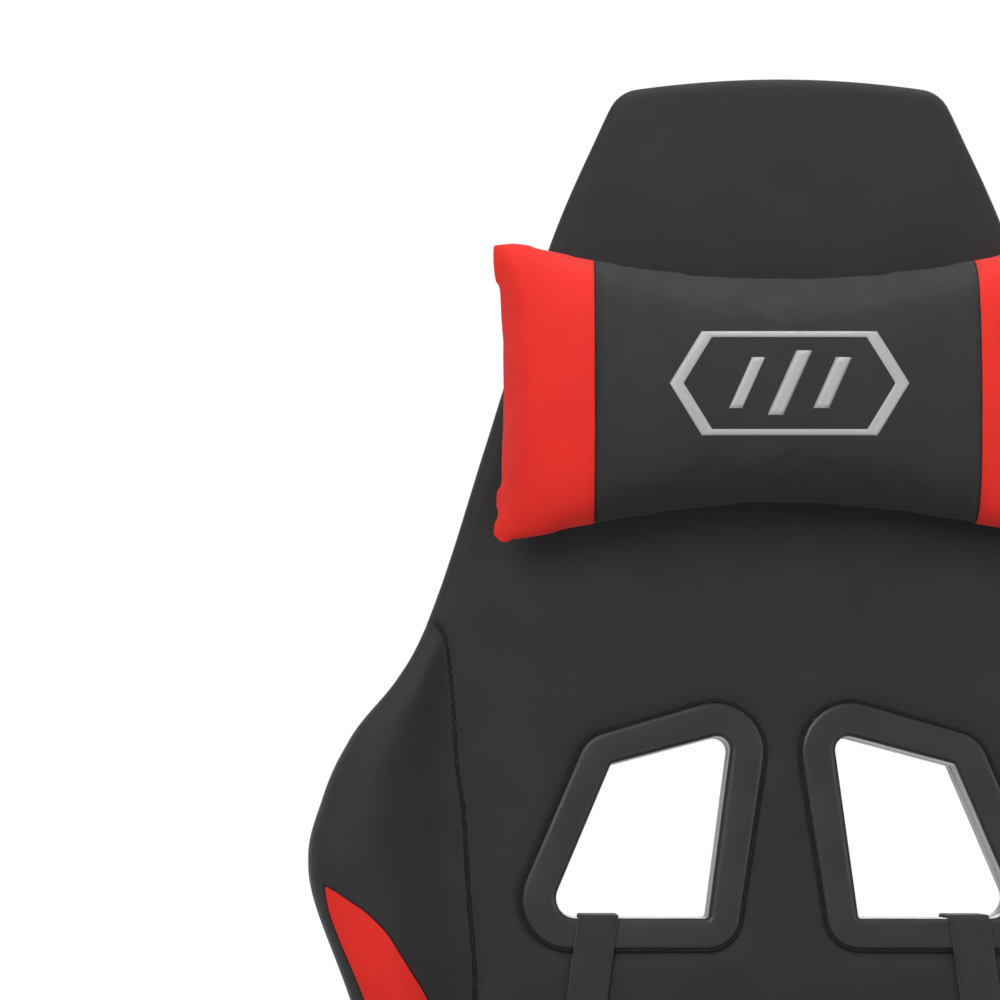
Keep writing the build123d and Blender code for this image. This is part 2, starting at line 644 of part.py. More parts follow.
def make_seat_bolts():
    """The bolts of the tilt plate, the armrests and the recliners."""
    spots = [(PLATE_BOLT_X, y) for y in PLATE_BOLT_Y] + [(FRAME_X, y) for y in SIDE_BOLTS_Y]
    with BuildPart() as bolts:
        for x, y in spots:
            top = BAR_TOP if x == PLATE_BOLT_X else BOLT_TOP
            for side in (x, -x):
                with BuildSketch(Plane.XY.offset(PLATE_Z - BOLT_HEAD)):
                    with Locations((side, y)):
                        RegularPolygon(BOLT_HEAD_R, 6)
                extrude(amount=BOLT_HEAD)
                with BuildSketch(Plane.XY.offset(PLATE_Z)):
                    with Locations((side, y)):
                        Circle(BOLT_R)
                extrude(amount=top - PLATE_Z)
    return bolts.part


def make_seat_cushion():
    """The upholstered bucket seat, with its side bolsters and a pocket for the frame."""
    right = (
        (SEAT_FRONT_X, SEAT_FRONT),
        (SEAT_MIDDLE_X, SEAT_MIDDLE_Y0),
        (SEAT_MIDDLE_X, SEAT_MIDDLE_Y1),
        (SEAT_REAR_X, SEAT_WAIST_Y),
    )
    with BuildPart() as cushion:
        with BuildSketch(Plane.XY.offset(SKIRT_Z)):
            with BuildLine():
                side = FilletPolyline(
                    (0, SEAT_FRONT), *right, (SEAT_REAR_X, SEAT_REAR), radius=SEAT_RADII
                )
                Line(side @ 1, (0, SEAT_REAR))
                mirror(about=Plane.YZ)
            make_face()
        extrude(amount=BOLSTER_Z - SKIRT_Z)
        with BuildSketch(Plane.XZ.offset(-SEAT_REAR)):
            with BuildLine():
                Polyline(
                    (-CHANNEL_X, SEAT_Z),
                    (CHANNEL_X, SEAT_Z),
                    (CHANNEL_TOP_X, BOLSTER_Z),
                    (-CHANNEL_TOP_X, BOLSTER_Z),
                    close=True,
                )
            make_face()
        extrude(amount=SEAT_REAR - SEAT_FRONT, mode=Mode.SUBTRACT)
        with BuildSketch(Plane.XY.offset(SKIRT_Z)):
            with Locations((0, (POCKET_Y + SEAT_REAR) / 2)):
                Rectangle(2 * POCKET_X, SEAT_REAR - POCKET_Y)
        extrude(amount=CUSHION_Z - SKIRT_Z, mode=Mode.SUBTRACT)
    return cushion.part


# ---------------------------------------------------------------- recliner
def make_recliner_plates():
    """The two upright plates bolted under the seat's frame, which hold the back's pivots."""
    with BuildPart() as plate:
        with BuildSketch(Plane.YZ.offset(RECLINER_X)):
            with Locations((PIVOT_Y, PIVOT_Z)):
                Circle(RECLINER_R)
            with Locations(((FOOT_Y0 + FOOT_Y1) / 2, FOOT_Z + FOOT_T)):
                Rectangle(FOOT_Y1 - FOOT_Y0, 2 * FOOT_T)
            make_hull()
            with Locations((PIVOT_Y, PIVOT_Z)):
                Circle(PIN_R, mode=Mode.SUBTRACT)
        extrude(amount=RECLINER_T)
        with BuildSketch(Plane.XY.offset(FOOT_Z)):
            with Locations(((FOOT_X + RECLINER_X) / 2, (FOOT_Y0 + FOOT_Y1) / 2)):
                Rectangle(RECLINER_X - FOOT_X, FOOT_Y1 - FOOT_Y0)
            for y in SIDE_BOLTS_Y[2:]:
                with Locations((FRAME_X, y)):
                    Circle(BOLT_R, mode=Mode.SUBTRACT)
        extrude(amount=FOOT_T)
    return both_sides(plate.part)


def make_recline_pins():
    with BuildPart() as pin:
        with BuildSketch(Plane.YZ.offset(PIN_X0)):
            with Locations((PIVOT_Y, PIVOT_Z)):
                Circle(PIN_R)
        extrude(amount=PIN_X1 - PIN_X0)
        with BuildSketch(Plane.YZ.offset(COVER_X0)):
            with Locations((PIVOT_Y, PIVOT_Z)):
                Circle(PIN_HEAD_R)
        extrude(amount=PIN_X1 - COVER_X0)
    return both_sides(pin.part)


def make_back_plates():
    """The two plates on the back that turn on the recline pins."""
    side = Plane(origin=(BACK_PLATE_X, PIVOT_Y, PIVOT_Z), x_dir=UP, z_dir=(1, 0, 0))
    with BuildPart() as plate:
        with BuildSketch(side):
            Circle(BACK_PLATE_R)
            with Locations((BACK_PLATE_TOP, 0)):
                Circle(BACK_PLATE_R)
            make_hull()
            Circle(PIN_R + GAP, mode=Mode.SUBTRACT)
        extrude(amount=BACK_PLATE_T)
        with BuildSketch(side.offset(SPACER_X - BACK_PLATE_X)):
            for w in SPACER_W:
                with Locations((w, 0)):
                    Circle(SPACER_R)
        extrude(amount=BACK_PLATE_X - SPACER_X)
    return both_sides(plate.part)


def make_recline_spring():
    """A flat spiral spring that lifts the back."""

    def spiral(inset):
        steps = 10
        points = []
        for step in range(int(SPIRAL_TURNS * steps) + 1):
            angle = 2 * pi * step / steps
            radius = SPIRAL_R0 + inset + SPIRAL_PITCH * step / steps
            points.append((PIVOT_Y + radius * cos(angle), PIVOT_Z + radius * sin(angle)))
        return points

    with BuildPart() as spring:
        with BuildSketch(Plane.YZ.offset(SPIRAL_X)):
            with BuildLine():
                inside = Spline(*spiral(0))
                outside = Spline(*spiral(SPIRAL_WIRE))
                Line(inside @ 0, outside @ 0)
                Line(inside @ 1, outside @ 1)
            make_face()
        extrude(amount=SPIRAL_T)
    return spring.part


def make_side_cover(with_shaft_hole):
    """The +X recliner cover, a shell that is open towards the seat."""
    with BuildPart() as cover:
        with BuildSketch(Plane.YZ.offset(COVER_X0)) as outline:
            with BuildLine():
                FilletPolyline(*COVER_OUTLINE, radius=COVER_RADII, close=True)
            make_face()
        extrude(amount=COVER_X1 - COVER_X0)
        fillet(cover.faces().sort_by(Axis.X)[-1].edges(), COVER_EDGE)
        with BuildSketch(Plane.YZ.offset(COVER_X0)):
            add(outline.sketch_local)
            offset(amount=-COVER_T, mode=Mode.REPLACE)
        extrude(amount=COVER_X1 - COVER_X0 - COVER_T, mode=Mode.SUBTRACT)
        if with_shaft_hole:
            with BuildSketch(Plane.YZ.offset(COVER_X0)):
                with Locations((PIVOT_Y, PIVOT_Z)):
                    Circle(HANDLE_SHAFT_R + 2 * GAP)
            extrude(amount=COVER_X1 - COVER_X0, mode=Mode.SUBTRACT)
    return cover.part


def make_recline_lever():
    """The recliner's handle, modelled on +X and mirrored to the sitter's right."""
    with BuildPart() as lever:
        with BuildSketch(Plane.YZ.offset(HANDLE_X0)):
            with Locations((PIVOT_Y, PIVOT_Z)):
                Circle(HANDLE_SHAFT_R)
        extrude(amount=HANDLE_X2 - HANDLE_X0)
        with BuildSketch(Plane.YZ.offset(HANDLE_X1)):
            with Locations((PIVOT_Y, PIVOT_Z)):
                Circle(HANDLE_HUB_R)
            with Locations((HANDLE_Y, HANDLE_Z)):
                Circle(HANDLE_WIDTH / 2)
            make_hull()
        extrude(amount=HANDLE_X2 - HANDLE_X1)
        fillet(lever.faces().sort_by(Axis.X)[-1].edges(), HANDLE_EDGE)
    return mirror(lever.part, about=Plane.YZ)


# ---------------------------------------------------------------- armrests
def make_armrest_bracket():
    """The +X armrest's foot and sleeve."""
    foot_end = SLEEVE_X + SLEEVE_SIZE[0] / 2
    with BuildPart() as bracket:
        with BuildSketch(Plane.XY.offset(FOOT_Z)):
            with Locations(((ARM_FOOT_X + foot_end) / 2, SLEEVE_Y)):
                RectangleRounded(foot_end - ARM_FOOT_X, SLEEVE_SIZE[1], ARM_FOOT_CORNER)
            for y in SIDE_BOLTS_Y[:2]:
                with Locations((FRAME_X, y)):
                    Circle(BOLT_R, mode=Mode.SUBTRACT)
        extrude(amount=FOOT_T)
        with BuildSketch(Plane.XY.offset(FOOT_Z)):
            with Locations((SLEEVE_X, SLEEVE_Y)):
                RectangleRounded(*SLEEVE_SIZE, SLEEVE_CORNER)
        extrude(amount=SLEEVE_TOP - FOOT_Z)
        with BuildSketch(Plane.XY.offset(FOOT_Z + FOOT_T)):
            with Locations((SLEEVE_X, SLEEVE_Y)):
                Rectangle(*SLEEVE_BORE)
        extrude(amount=SLEEVE_TOP - FOOT_Z, mode=Mode.SUBTRACT)
        with BuildSketch(Plane.YZ.offset(SLEEVE_X)):
            with Locations((SLEEVE_Y, BUTTON_Z)):
                Circle(BUTTON_R)
        extrude(amount=SLEEVE_SIZE[0], mode=Mode.SUBTRACT)
    return bracket.part


def make_armrest_post():
    """The +X post that slides in the sleeve, with the pad's plate on top."""
    with BuildPart() as post:
        with BuildSketch(Plane.XY.offset(POST_BOTTOM)):
            with Locations((SLEEVE_X, SLEEVE_Y)):
                Rectangle(*POST_SIZE)
        extrude(amount=POST_TOP - POST_BOTTOM)
        with Locations((PAD_X, SLEEVE_Y, POST_TOP + POST_PLATE[2] / 2)):
            Box(*POST_PLATE)
        slot_x = SLEEVE_X + POST_SIZE[0] / 2 - SLOT_DEPTH / 2
        with Locations((slot_x, SLEEVE_Y, (SLOT_Z0 + SLOT_Z1) / 2)):
            Box(SLOT_DEPTH, SLOT_WIDTH, SLOT_Z1 - SLOT_Z0, mode=Mode.SUBTRACT)
    return post.part


def make_armrest_button():
    with BuildPart() as button:
        with BuildSketch(Plane.YZ.offset(BUTTON_X0)):
            with Locations((SLEEVE_Y, BUTTON_Z)):
                Circle(BUTTON_R - GAP)
        extrude(amount=BUTTON_X1 - BUTTON_X0)
        with BuildSketch(Plane.YZ.offset(BUTTON_X1)):
            with Locations((SLEEVE_Y, BUTTON_Z)):
                Circle(BUTTON_CAP_R)
        extrude(amount=BUTTON_CAP)
        fillet(button.faces().sort_by(Axis.X)[-1].edges(), BUTTON_EDGE)
    return button.part


def make_armrest_pad():
    with BuildPart() as pad:
        with BuildSketch(Plane.XY.offset(POST_TOP + POST_PLATE[2])):
            with Locations((PAD_X, PAD_Y)):
                RectangleRounded(*PAD_SIZE, PAD_CORNER)
        extrude(amount=PAD_T)
        fillet(pad.faces().sort_by(Axis.Z)[-1].edges(), PAD_EDGE)
    return pad.part


# ---------------------------------------------------------------- back
def make_back_frame():
    """An arch of tube with a cross tube at its foot and four mounting bosses."""
    left = tuple((-u, w) for u, w in reversed(FRAME_PATH))
    bends = FRAME_BENDS + FRAME_BENDS[::-1]
    foot_u, foot_w = FRAME_PATH[0]
    side = Plane(origin=(-SPACER_X, PIVOT_Y, PIVOT_Z), x_dir=UP, z_dir=(1, 0, 0))
    with BuildPart() as frame:
        add(cross_tube(FRAME_PATH + left, bends, BACK, 0))
        with BuildSketch(side.offset(SPACER_X - foot_u)):
            with Locations((foot_w, 0)):
                Circle(TUBE_R)
        extrude(amount=2 * foot_u)
        for start in (0, SPACER_X + foot_u):
            with BuildSketch(side.offset(start)):
                for w in SPACER_W:
                    with Locations((w, 0)):
                        Circle(SPACER_R)
            extrude(amount=SPACER_X - foot_u)
    return frame.part


def back_outline(height):
    """The back's face at a height off its mid-plane, from its round foot to its crowned top."""
    with BuildSketch(BACK.offset(height)) as face:
        with BuildLine():
            top = ThreePointArc((0, BACK_TOP), (CROWN_X / 2, BACK_TOP - CROWN_DIP), (CROWN_X, CROWN_W))
            head = Spline((CORNER_X, CORNER_W), *HEAD_SIDE, KINK)
            TangentArc(top @ 1, head @ 0, tangent=top % 1)
            wing = Spline(KINK, *WING_SIDE, (BACK_FOOT_X, WING_END_W), tangents=WING_TANGENTS)
            Polyline(wing @ 1, (BACK_FOOT_X, 0), (0, 0))
            mirror(about=Plane.YZ)
        make_face()
    return face.sketch


def wing_outline():
    """The +X wing's face, between the seam and the back's side."""
    top_w, end_w = SEAM[0][1], WING_END_W - WING_TUCK
    with BuildSketch(BACK.offset(SLAB)) as face:
        add(back_outline(SLAB))
        with BuildLine():
            seam = Spline(*SEAM, (BACK_FOOT_X + WING_TUCK, end_w))
            Polyline(seam @ 1, (2 * BACK_FOOT_X, end_w), (2 * BACK_FOOT_X, top_w), seam @ 0)
        make_face(mode=Mode.INTERSECT)
    return face.sketch


def make_back_cushion(frame):
    """The upholstered back with its wings, its two harness slots and its frame's channel."""
    with BuildPart() as cushion:
        extrude(back_outline(-SLAB), amount=2 * SLAB)
        with BuildSketch(BACK_SIDE.offset(-BACK_FOOT_X)):
            Circle(SLAB)
        extrude(amount=2 * BACK_FOOT_X)
        wing = extrude(wing_outline(), amount=WING_PROUD)
        mirror(wing, about=Plane.YZ)
        with BuildSketch(BACK.offset(-2 * SLAB)):
            for points in (OPENING, tuple((-u, w) for u, w in OPENING)):
                with BuildLine():
                    FilletPolyline(*points, radius=OPENING_RADII, close=True)
                make_face()
            offset(amount=LINER_T, mode=Mode.REPLACE)
        extrude(amount=4 * SLAB, mode=Mode.SUBTRACT)
        add(frame, mode=Mode.SUBTRACT)
        side = Plane(origin=(-BACK_FOOT_X, PIVOT_Y, PIVOT_Z), x_dir=UP, z_dir=(1, 0, 0))
        with BuildSketch(side):
            for w in SPACER_W:
                with Locations((w, 0)):
                    Circle(SPACER_R)
        extrude(amount=2 * BACK_FOOT_X, mode=Mode.SUBTRACT)
    return cushion.part


def make_vent_bezels(front):
    """Two slot surrounds: a flat ring on the back's face and a liner to half its depth."""
    face = BACK.offset(SLAB) if front else BACK.offset(-SLAB)
    out = 1 if front else -1
    with BuildPart() as bezel:
        with BuildSketch(face):
            with BuildLine():
                FilletPolyline(*BEZEL, radius=BEZEL_RADII, close=True)
            make_face()
        extrude(amount=out * BEZEL_T)
        with BuildSketch(BACK):
            with BuildLine():
                FilletPolyline(*OPENING, radius=OPENING_RADII, close=True)
            make_face()
            offset(amount=LINER_T, mode=Mode.REPLACE)
        extrude(amount=out * SLAB)
        with BuildSketch(BACK):
            with BuildLine():
                FilletPolyline(*OPENING, radius=OPENING_RADII, close=True)
            make_face()
        extrude(amount=out * 2 * SLAB, mode=Mode.SUBTRACT)
    return both_sides(bezel.part)


def make_lumbar_straps():
    """Two webbing loops through the slots and round the back's foot."""

    def loop(grow):
        half = STRAP_INSIDE + grow
        top = STRAP_SEAT_W + grow
        with BuildSketch(Plane.XY) as shape:
            with Locations((0, top / 2)):
                Rectangle(2 * half, top)
            corners = shape.vertices().group_by(Axis.Y)[-1]
            fillet(corners, STRAP_CORNER + grow)
            Circle(half)
        return shape.sketch

    with BuildPart() as strap:
        with BuildSketch(BACK_SIDE.offset(STRAP_U - STRAP_WIDTH / 2)):
            add(loop(STRAP_T))
            add(loop(0), mode=Mode.SUBTRACT)
        extrude(amount=STRAP_WIDTH)
    return both_sides(strap.part)


# ---------------------------------------------------------------- loose cushions
def make_head_pillow():
    """A bone-shaped pillow, waisted in the middle and hollow at its ends."""
    with BuildPart() as pillow:
        with BuildSketch(BACK.offset(PILLOW_BACK)):
            with BuildLine():
                for side in (1, -1):
                    end = side * PILLOW_END_X
                    high, low = PILLOW_W + PILLOW_END_H, PILLOW_W - PILLOW_END_H
                    ThreePointArc((end, high), (side * PILLOW_MID_X, PILLOW_W), (end, low))
                    edge = PILLOW_W + side * PILLOW_END_H
                    middle = PILLOW_W + side * PILLOW_MID_H
                    ThreePointArc((-PILLOW_END_X, edge), (0, middle), (PILLOW_END_X, edge))
            make_face()
        extrude(amount=PILLOW_T)
        chamfer(pillow.edges().group_by(Axis((0, 0, 0), FORWARD))[-1], PILLOW_EDGE)
    return pillow.part


def make_head_strap():
    """The elastic band that holds the head pillow round the back."""
    with BuildPart() as band:
        for grow, mode in ((HEAD_STRAP_T, Mode.ADD), (0, Mode.SUBTRACT)):
            for w, half in zip(HEAD_STRAP_W, HEAD_STRAP_HALF):
                with BuildSketch(BACK_ACROSS.offset(w)):
                    size = 2 * (half + grow), 2 * (HEAD_STRAP_INSIDE + grow)
                    RectangleRounded(*size, HEAD_STRAP_CORNER + grow)
            loft(mode=mode)
    return band.part


def make_lumbar_cushion():
    with BuildPart() as cushion:
        with BuildSketch(BACK.offset(LUMBAR_BACK)):
            with Locations((0, LUMBAR_W)):
                RectangleRounded(*LUMBAR_SIZE, LUMBAR_CORNER)
        extrude(amount=LUMBAR_T)
        fillet(cushion.edges().group_by(Axis((0, 0, 0), FORWARD))[-1], LUMBAR_EDGE)
    return cushion.part


# ---------------------------------------------------------------- the whole chair
def main():
    os.makedirs("parts", exist_ok=True)
    write(make_star_base(), "star_base")
    for number in range(LEGS):
        place = caster_place(number)
        write(place * make_caster_hood(), f"caster_hood_{number + 1}")
        write(place * make_caster_pins(), f"caster_pins_{number + 1}")
        write(place * make_caster_wheels(), f"caster_wheels_{number + 1}")

    write(make_column_tube(), "column_tube")
    write(make_column_bushing(), "column_bushing")
    write(make_piston_rod(), "piston_rod")
    write(make_thrust_bearing(), "thrust_bearing")
    write(make_gas_cylinder(), "gas_cylinder")
    write(make_valve_pin(), "valve_pin")
    write(make_dust_cover(*LOWER_COVER), "dust_cover_lower")
    write(make_dust_cover(*MIDDLE_COVER), "dust_cover_middle")
    write(make_dust_cover(*UPPER_COVER), "dust_cover_upper")

    write(make_mechanism_housing(), "mechanism_housing")
    write(make_tilt_plate(), "tilt_plate")
    write(make_tilt_pin(), "tilt_pin")
    write(make_tilt_spring(), "tilt_spring")
    write(make_tension_knob(), "tension_knob")
    write(make_height_lever(), "height_lever")
    write(make_lever_grip(), "lever_grip")
    write(make_tilt_lock_slider(), "tilt_lock_slider")

    write(make_seat_frame(), "seat_frame")
    write(make_seat_webbing(), "seat_webbing")
    write(make_seat_cushion(), "seat_cushion")
    write(make_seat_bolts(), "seat_bolts")
    write(make_recliner_plates(), "recliner_plates")
    write(make_recline_pins(), "recline_pins")
    write(make_back_plates(), "back_plates")
    write(make_recline_lever(), "recline_lever")
    write(make_recline_spring(), "recline_spring")

    # The sitter faces -Y, so the sitter's left is +X.
    write(make_side_cover(False), "side_cover_left")
    write(mirror(make_side_cover(True), about=Plane.YZ), "side_cover_right")
    armrest = {
        "armrest_bracket": make_armrest_bracket(),
        "armrest_post": make_armrest_post(),
        "armrest_button": make_armrest_button(),
        "armrest_pad": make_armrest_pad(),
    }
    for name, piece in armrest.items():
        write(piece, f"{name}_left")
        write(mirror(piece, about=Plane.YZ), f"{name}_right")

    frame = make_back_frame()
    write(make_back_cushion(frame), "back_cushion")
    write(frame, "back_frame")
    write(make_vent_bezels(True), "vent_bezels_front")
    write(make_vent_bezels(False), "vent_bezels_rear")
    write(make_lumbar_straps(), "lumbar_straps")
    write(make_head_pillow(), "head_pillow")
    write(make_head_strap(), "head_strap")
    write(make_lumbar_cushion(), "lumbar_cushion")


main()
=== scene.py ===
import json
from math import atan2, ceil, cos, pi, radians, sin, tan

import bmesh
import bpy
import numpy as np
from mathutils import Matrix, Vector, noise
from mathutils.bvhtree import BVHTree


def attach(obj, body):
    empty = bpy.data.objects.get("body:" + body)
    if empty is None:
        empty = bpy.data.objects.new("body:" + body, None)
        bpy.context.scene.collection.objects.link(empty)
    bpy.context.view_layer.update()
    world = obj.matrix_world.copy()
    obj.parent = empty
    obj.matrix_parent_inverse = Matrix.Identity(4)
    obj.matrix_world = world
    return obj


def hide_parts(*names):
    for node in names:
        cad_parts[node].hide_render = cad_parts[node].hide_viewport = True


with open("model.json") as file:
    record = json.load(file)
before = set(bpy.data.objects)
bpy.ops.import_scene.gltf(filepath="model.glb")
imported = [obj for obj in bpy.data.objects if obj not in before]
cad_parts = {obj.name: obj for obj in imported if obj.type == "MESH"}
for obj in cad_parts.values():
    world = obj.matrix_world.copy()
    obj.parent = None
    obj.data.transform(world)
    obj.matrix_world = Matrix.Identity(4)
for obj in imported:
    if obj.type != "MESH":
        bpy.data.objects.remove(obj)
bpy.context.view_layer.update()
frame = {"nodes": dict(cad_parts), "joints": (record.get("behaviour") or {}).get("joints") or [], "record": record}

# Gaming chair: the looks. Lengths named here are millimetres; meshes are metres.
MM = 0.001
scene = bpy.context.scene

# ======== places from the frame
joints = {joint["name"]: joint for joint in frame["joints"]}
PIVOT = Vector(joints["back_recline"]["pos_m"])
UP = Vector(joints["headrest_slide"]["axis"]).normalized()
FORWARD = Vector((0, -UP.z, UP.y))
ACROSS = Vector((1, 0, 0))


def on_back(u, w, v):
    """A point given across, up and forward of the back's pivot, in millimetres."""
    return PIVOT + (ACROSS * u + UP * w + FORWARD * v) * MM


def to_back(points):
    """Across, up and forward in millimetres, for an array of points in metres."""
    offset = (np.asarray(points, float) - np.array(PIVOT)) / MM
    return np.stack([offset @ np.array(a) for a in (ACROSS, UP, FORWARD)], axis=1)


def from_back(local):
    axes = np.array([ACROSS, UP, FORWARD])
    return np.array(PIVOT) + (np.asarray(local, float) @ axes) * MM


# ======== small geometry tools
def through(points, spans=12):
    """A smooth curve through the points (Catmull-Rom, evenly eased at both ends)."""
    p = np.asarray(points, float)
    p = np.vstack([2 * p[0] - p[1], p, 2 * p[-1] - p[-2]])
    out = []
    for i in range(1, len(p) - 2):
        for t in np.linspace(0, 1, spans, endpoint=False):
            a, b, c, d = p[i - 1 : i + 3]
            out.append(
                0.5 * (2 * b + (c - a) * t + (2 * a - 5 * b + 4 * c - d) * t**2
                       + (3 * b - a - 3 * c + d) * t**3)
            )
    out.append(p[-2])
    return np.array(out)


def evenly(points, count, closed=False):
    """The curve resampled to count evenly spaced points."""
    p = np.asarray(points, float)
    if closed:
        p = np.vstack([p, p[:1]])
    run = np.concatenate([[0], np.cumsum(np.linalg.norm(np.diff(p, axis=0), axis=1))])
    at = np.linspace(0, run[-1], count + 1)[:-1] if closed else np.linspace(0, run[-1], count)
    return np.stack([np.interp(at, run, p[:, k]) for k in range(p.shape[1])], axis=1)


def arc(centre, radius, start, end, count=10):
    angles = np.radians(np.linspace(start, end, count))
    return np.stack([centre[0] + radius * np.cos(angles), centre[1] + radius * np.sin(angles)], 1)


def rounded(corners, radii, count=8):
    """A closed outline with each corner rounded to its own radius."""
    out = []
    n = len(corners)
    for i, radius in enumerate(radii):
        a, b, c = (np.array(corners[k % n], float) for k in (i - 1, i, i + 1))
        before, after = (a - b) / np.linalg.norm(a - b), (c - b) / np.linalg.norm(c - b)
        half = np.arccos(np.clip(before @ after, -1, 1)) / 2
        reach = radius / tan(half)
        middle = (before + after) / np.linalg.norm(before + after)
        centre = b + middle * radius / sin(half)
        start, end = b + before * reach - centre, b + after * reach - centre
        turn = atan2(start[0] * end[1] - start[1] * end[0], start @ end)
        first = atan2(start[1], start[0])
        for angle in np.linspace(first, first + turn, count):
            out.append(centre + radius * np.array([cos(angle), sin(angle)]))
    return np.array(out)


def distance_to(line, points, closed=False):
    """Distance of each 2-D point to a polyline."""
    line = np.asarray(line, float)
    if closed:
        line = np.vstack([line, line[:1]])
    best = np.full(len(points), 1e9)
    for a, b in zip(line[:-1], line[1:]):
        along = b - a
        share = np.clip((points - a) @ along / max(along @ along, 1e-9), 0, 1)
        near = a + share[:, None] * along
        best = np.minimum(best, np.linalg.norm(points - near, axis=1))
    return best


def inside(line, points):
    """Which 2-D points lie inside a closed outline."""
    x, y = points[:, 0], points[:, 1]
    found = np.zeros(len(points), bool)
    for (x0, y0), (x1, y1) in zip(line, np.roll(line, -1, axis=0)):
        crosses = (y0 > y) != (y1 > y)
        found ^= crosses & (x < (x1 - x0) * (y - y0) / (y1 - y0 + 1e-12) + x0)
    return found


def signed(line, points):
    """Distance to a closed outline, negative inside it."""
    d = distance_to(line, points, closed=True)
    return np.where(inside(line, points), -d, d)


def ease(t):
    t = np.clip(t, 0, 1)
    return t * t * (3 - 2 * t)


def object_of(mesh, weld=True, smooth=True):
    """An object of that mesh, welded and with its faces turned outwards."""
    bm = bmesh.new()
    bm.from_mesh(mesh)
    if weld:
        bmesh.ops.remove_doubles(bm, verts=bm.verts, dist=1e-7)
    bmesh.ops.recalc_face_normals(bm, faces=bm.faces)
    bm.to_mesh(mesh)
    bm.free()
    for polygon in mesh.polygons:
        polygon.use_smooth = smooth
    piece = bpy.data.objects.new(mesh.name, mesh)
    scene.collection.objects.link(piece)
    return piece


def mesh_object(name, vertices, faces, smooth=True):
    mesh = bpy.data.meshes.new(name)
    mesh.from_pydata([tuple(v) for v in vertices], [], [tuple(int(i) for i in f) for f in faces])
    mesh.validate()
    return object_of(mesh, smooth=smooth)


def rings_object(name, rings, caps=True):
    """A skin over rings of equal point counts, capped at both ends."""
    count = len(rings[0])
    vertices = [p for ring in rings for p in ring]
    faces = []
    for r in range(len(rings) - 1):
        for i in range(count):
            j = (i + 1) % count
            a, b = r * count, (r + 1) * count
            faces.append((a + i, a + j, b + j, b + i))
    if caps:
        faces.append(tuple(range(count))[::-1])
        faces.append(tuple((len(rings) - 1) * count + i for i in range(count)))
    return mesh_object(name, vertices, faces)


def apply_modifiers(piece):
    """Bakes a piece's modifiers into its mesh."""
    graph = bpy.context.evaluated_depsgraph_get()
    mesh = bpy.data.meshes.new_from_object(piece.evaluated_get(graph))
    piece.modifiers.clear()
    piece.data = mesh
    return piece


def subdivide(piece):
    modifier = piece.modifiers.new("subdivision", "SUBSURF")
    modifier.levels = modifier.render_levels = 1
    return apply_modifiers(piece)


def coordinates(piece):
    co = np.empty(len(piece.data.vertices) * 3)
    piece.data.vertices.foreach_get("co", co)
    return co.reshape(-1, 3)


def set_coordinates(piece, co):
    piece.data.vertices.foreach_set("co", np.asarray(co, float).ravel())
    piece.data.update()


def mark(piece, name, values):
    """Stores one number per vertex, which a material can read."""
    attribute = piece.data.attributes.new(name, "FLOAT", "POINT")
    attribute.data.foreach_set("value", np.asarray(values, np.float32))


def tree_of(piece):
    return BVHTree.FromPolygons([v.co for v in piece.data.vertices],
                                [p.vertices for p in piece.data.polygons])


# ======== materials
def linear(red, green, blue):
    """A colour given in 8-bit sRGB, as the shader's linear colour."""
    return tuple(((c / 255 + 0.055) / 1.055) ** 2.4 if c > 10 else c / 255 / 12.92
                 for c in (red, green, blue)) + (1,)


def shade(colour, factor, lift=0.0):
    """A colour made darker or lighter."""
    return tuple(min(1, c * factor + lift) for c in colour[:3]) + (1,)


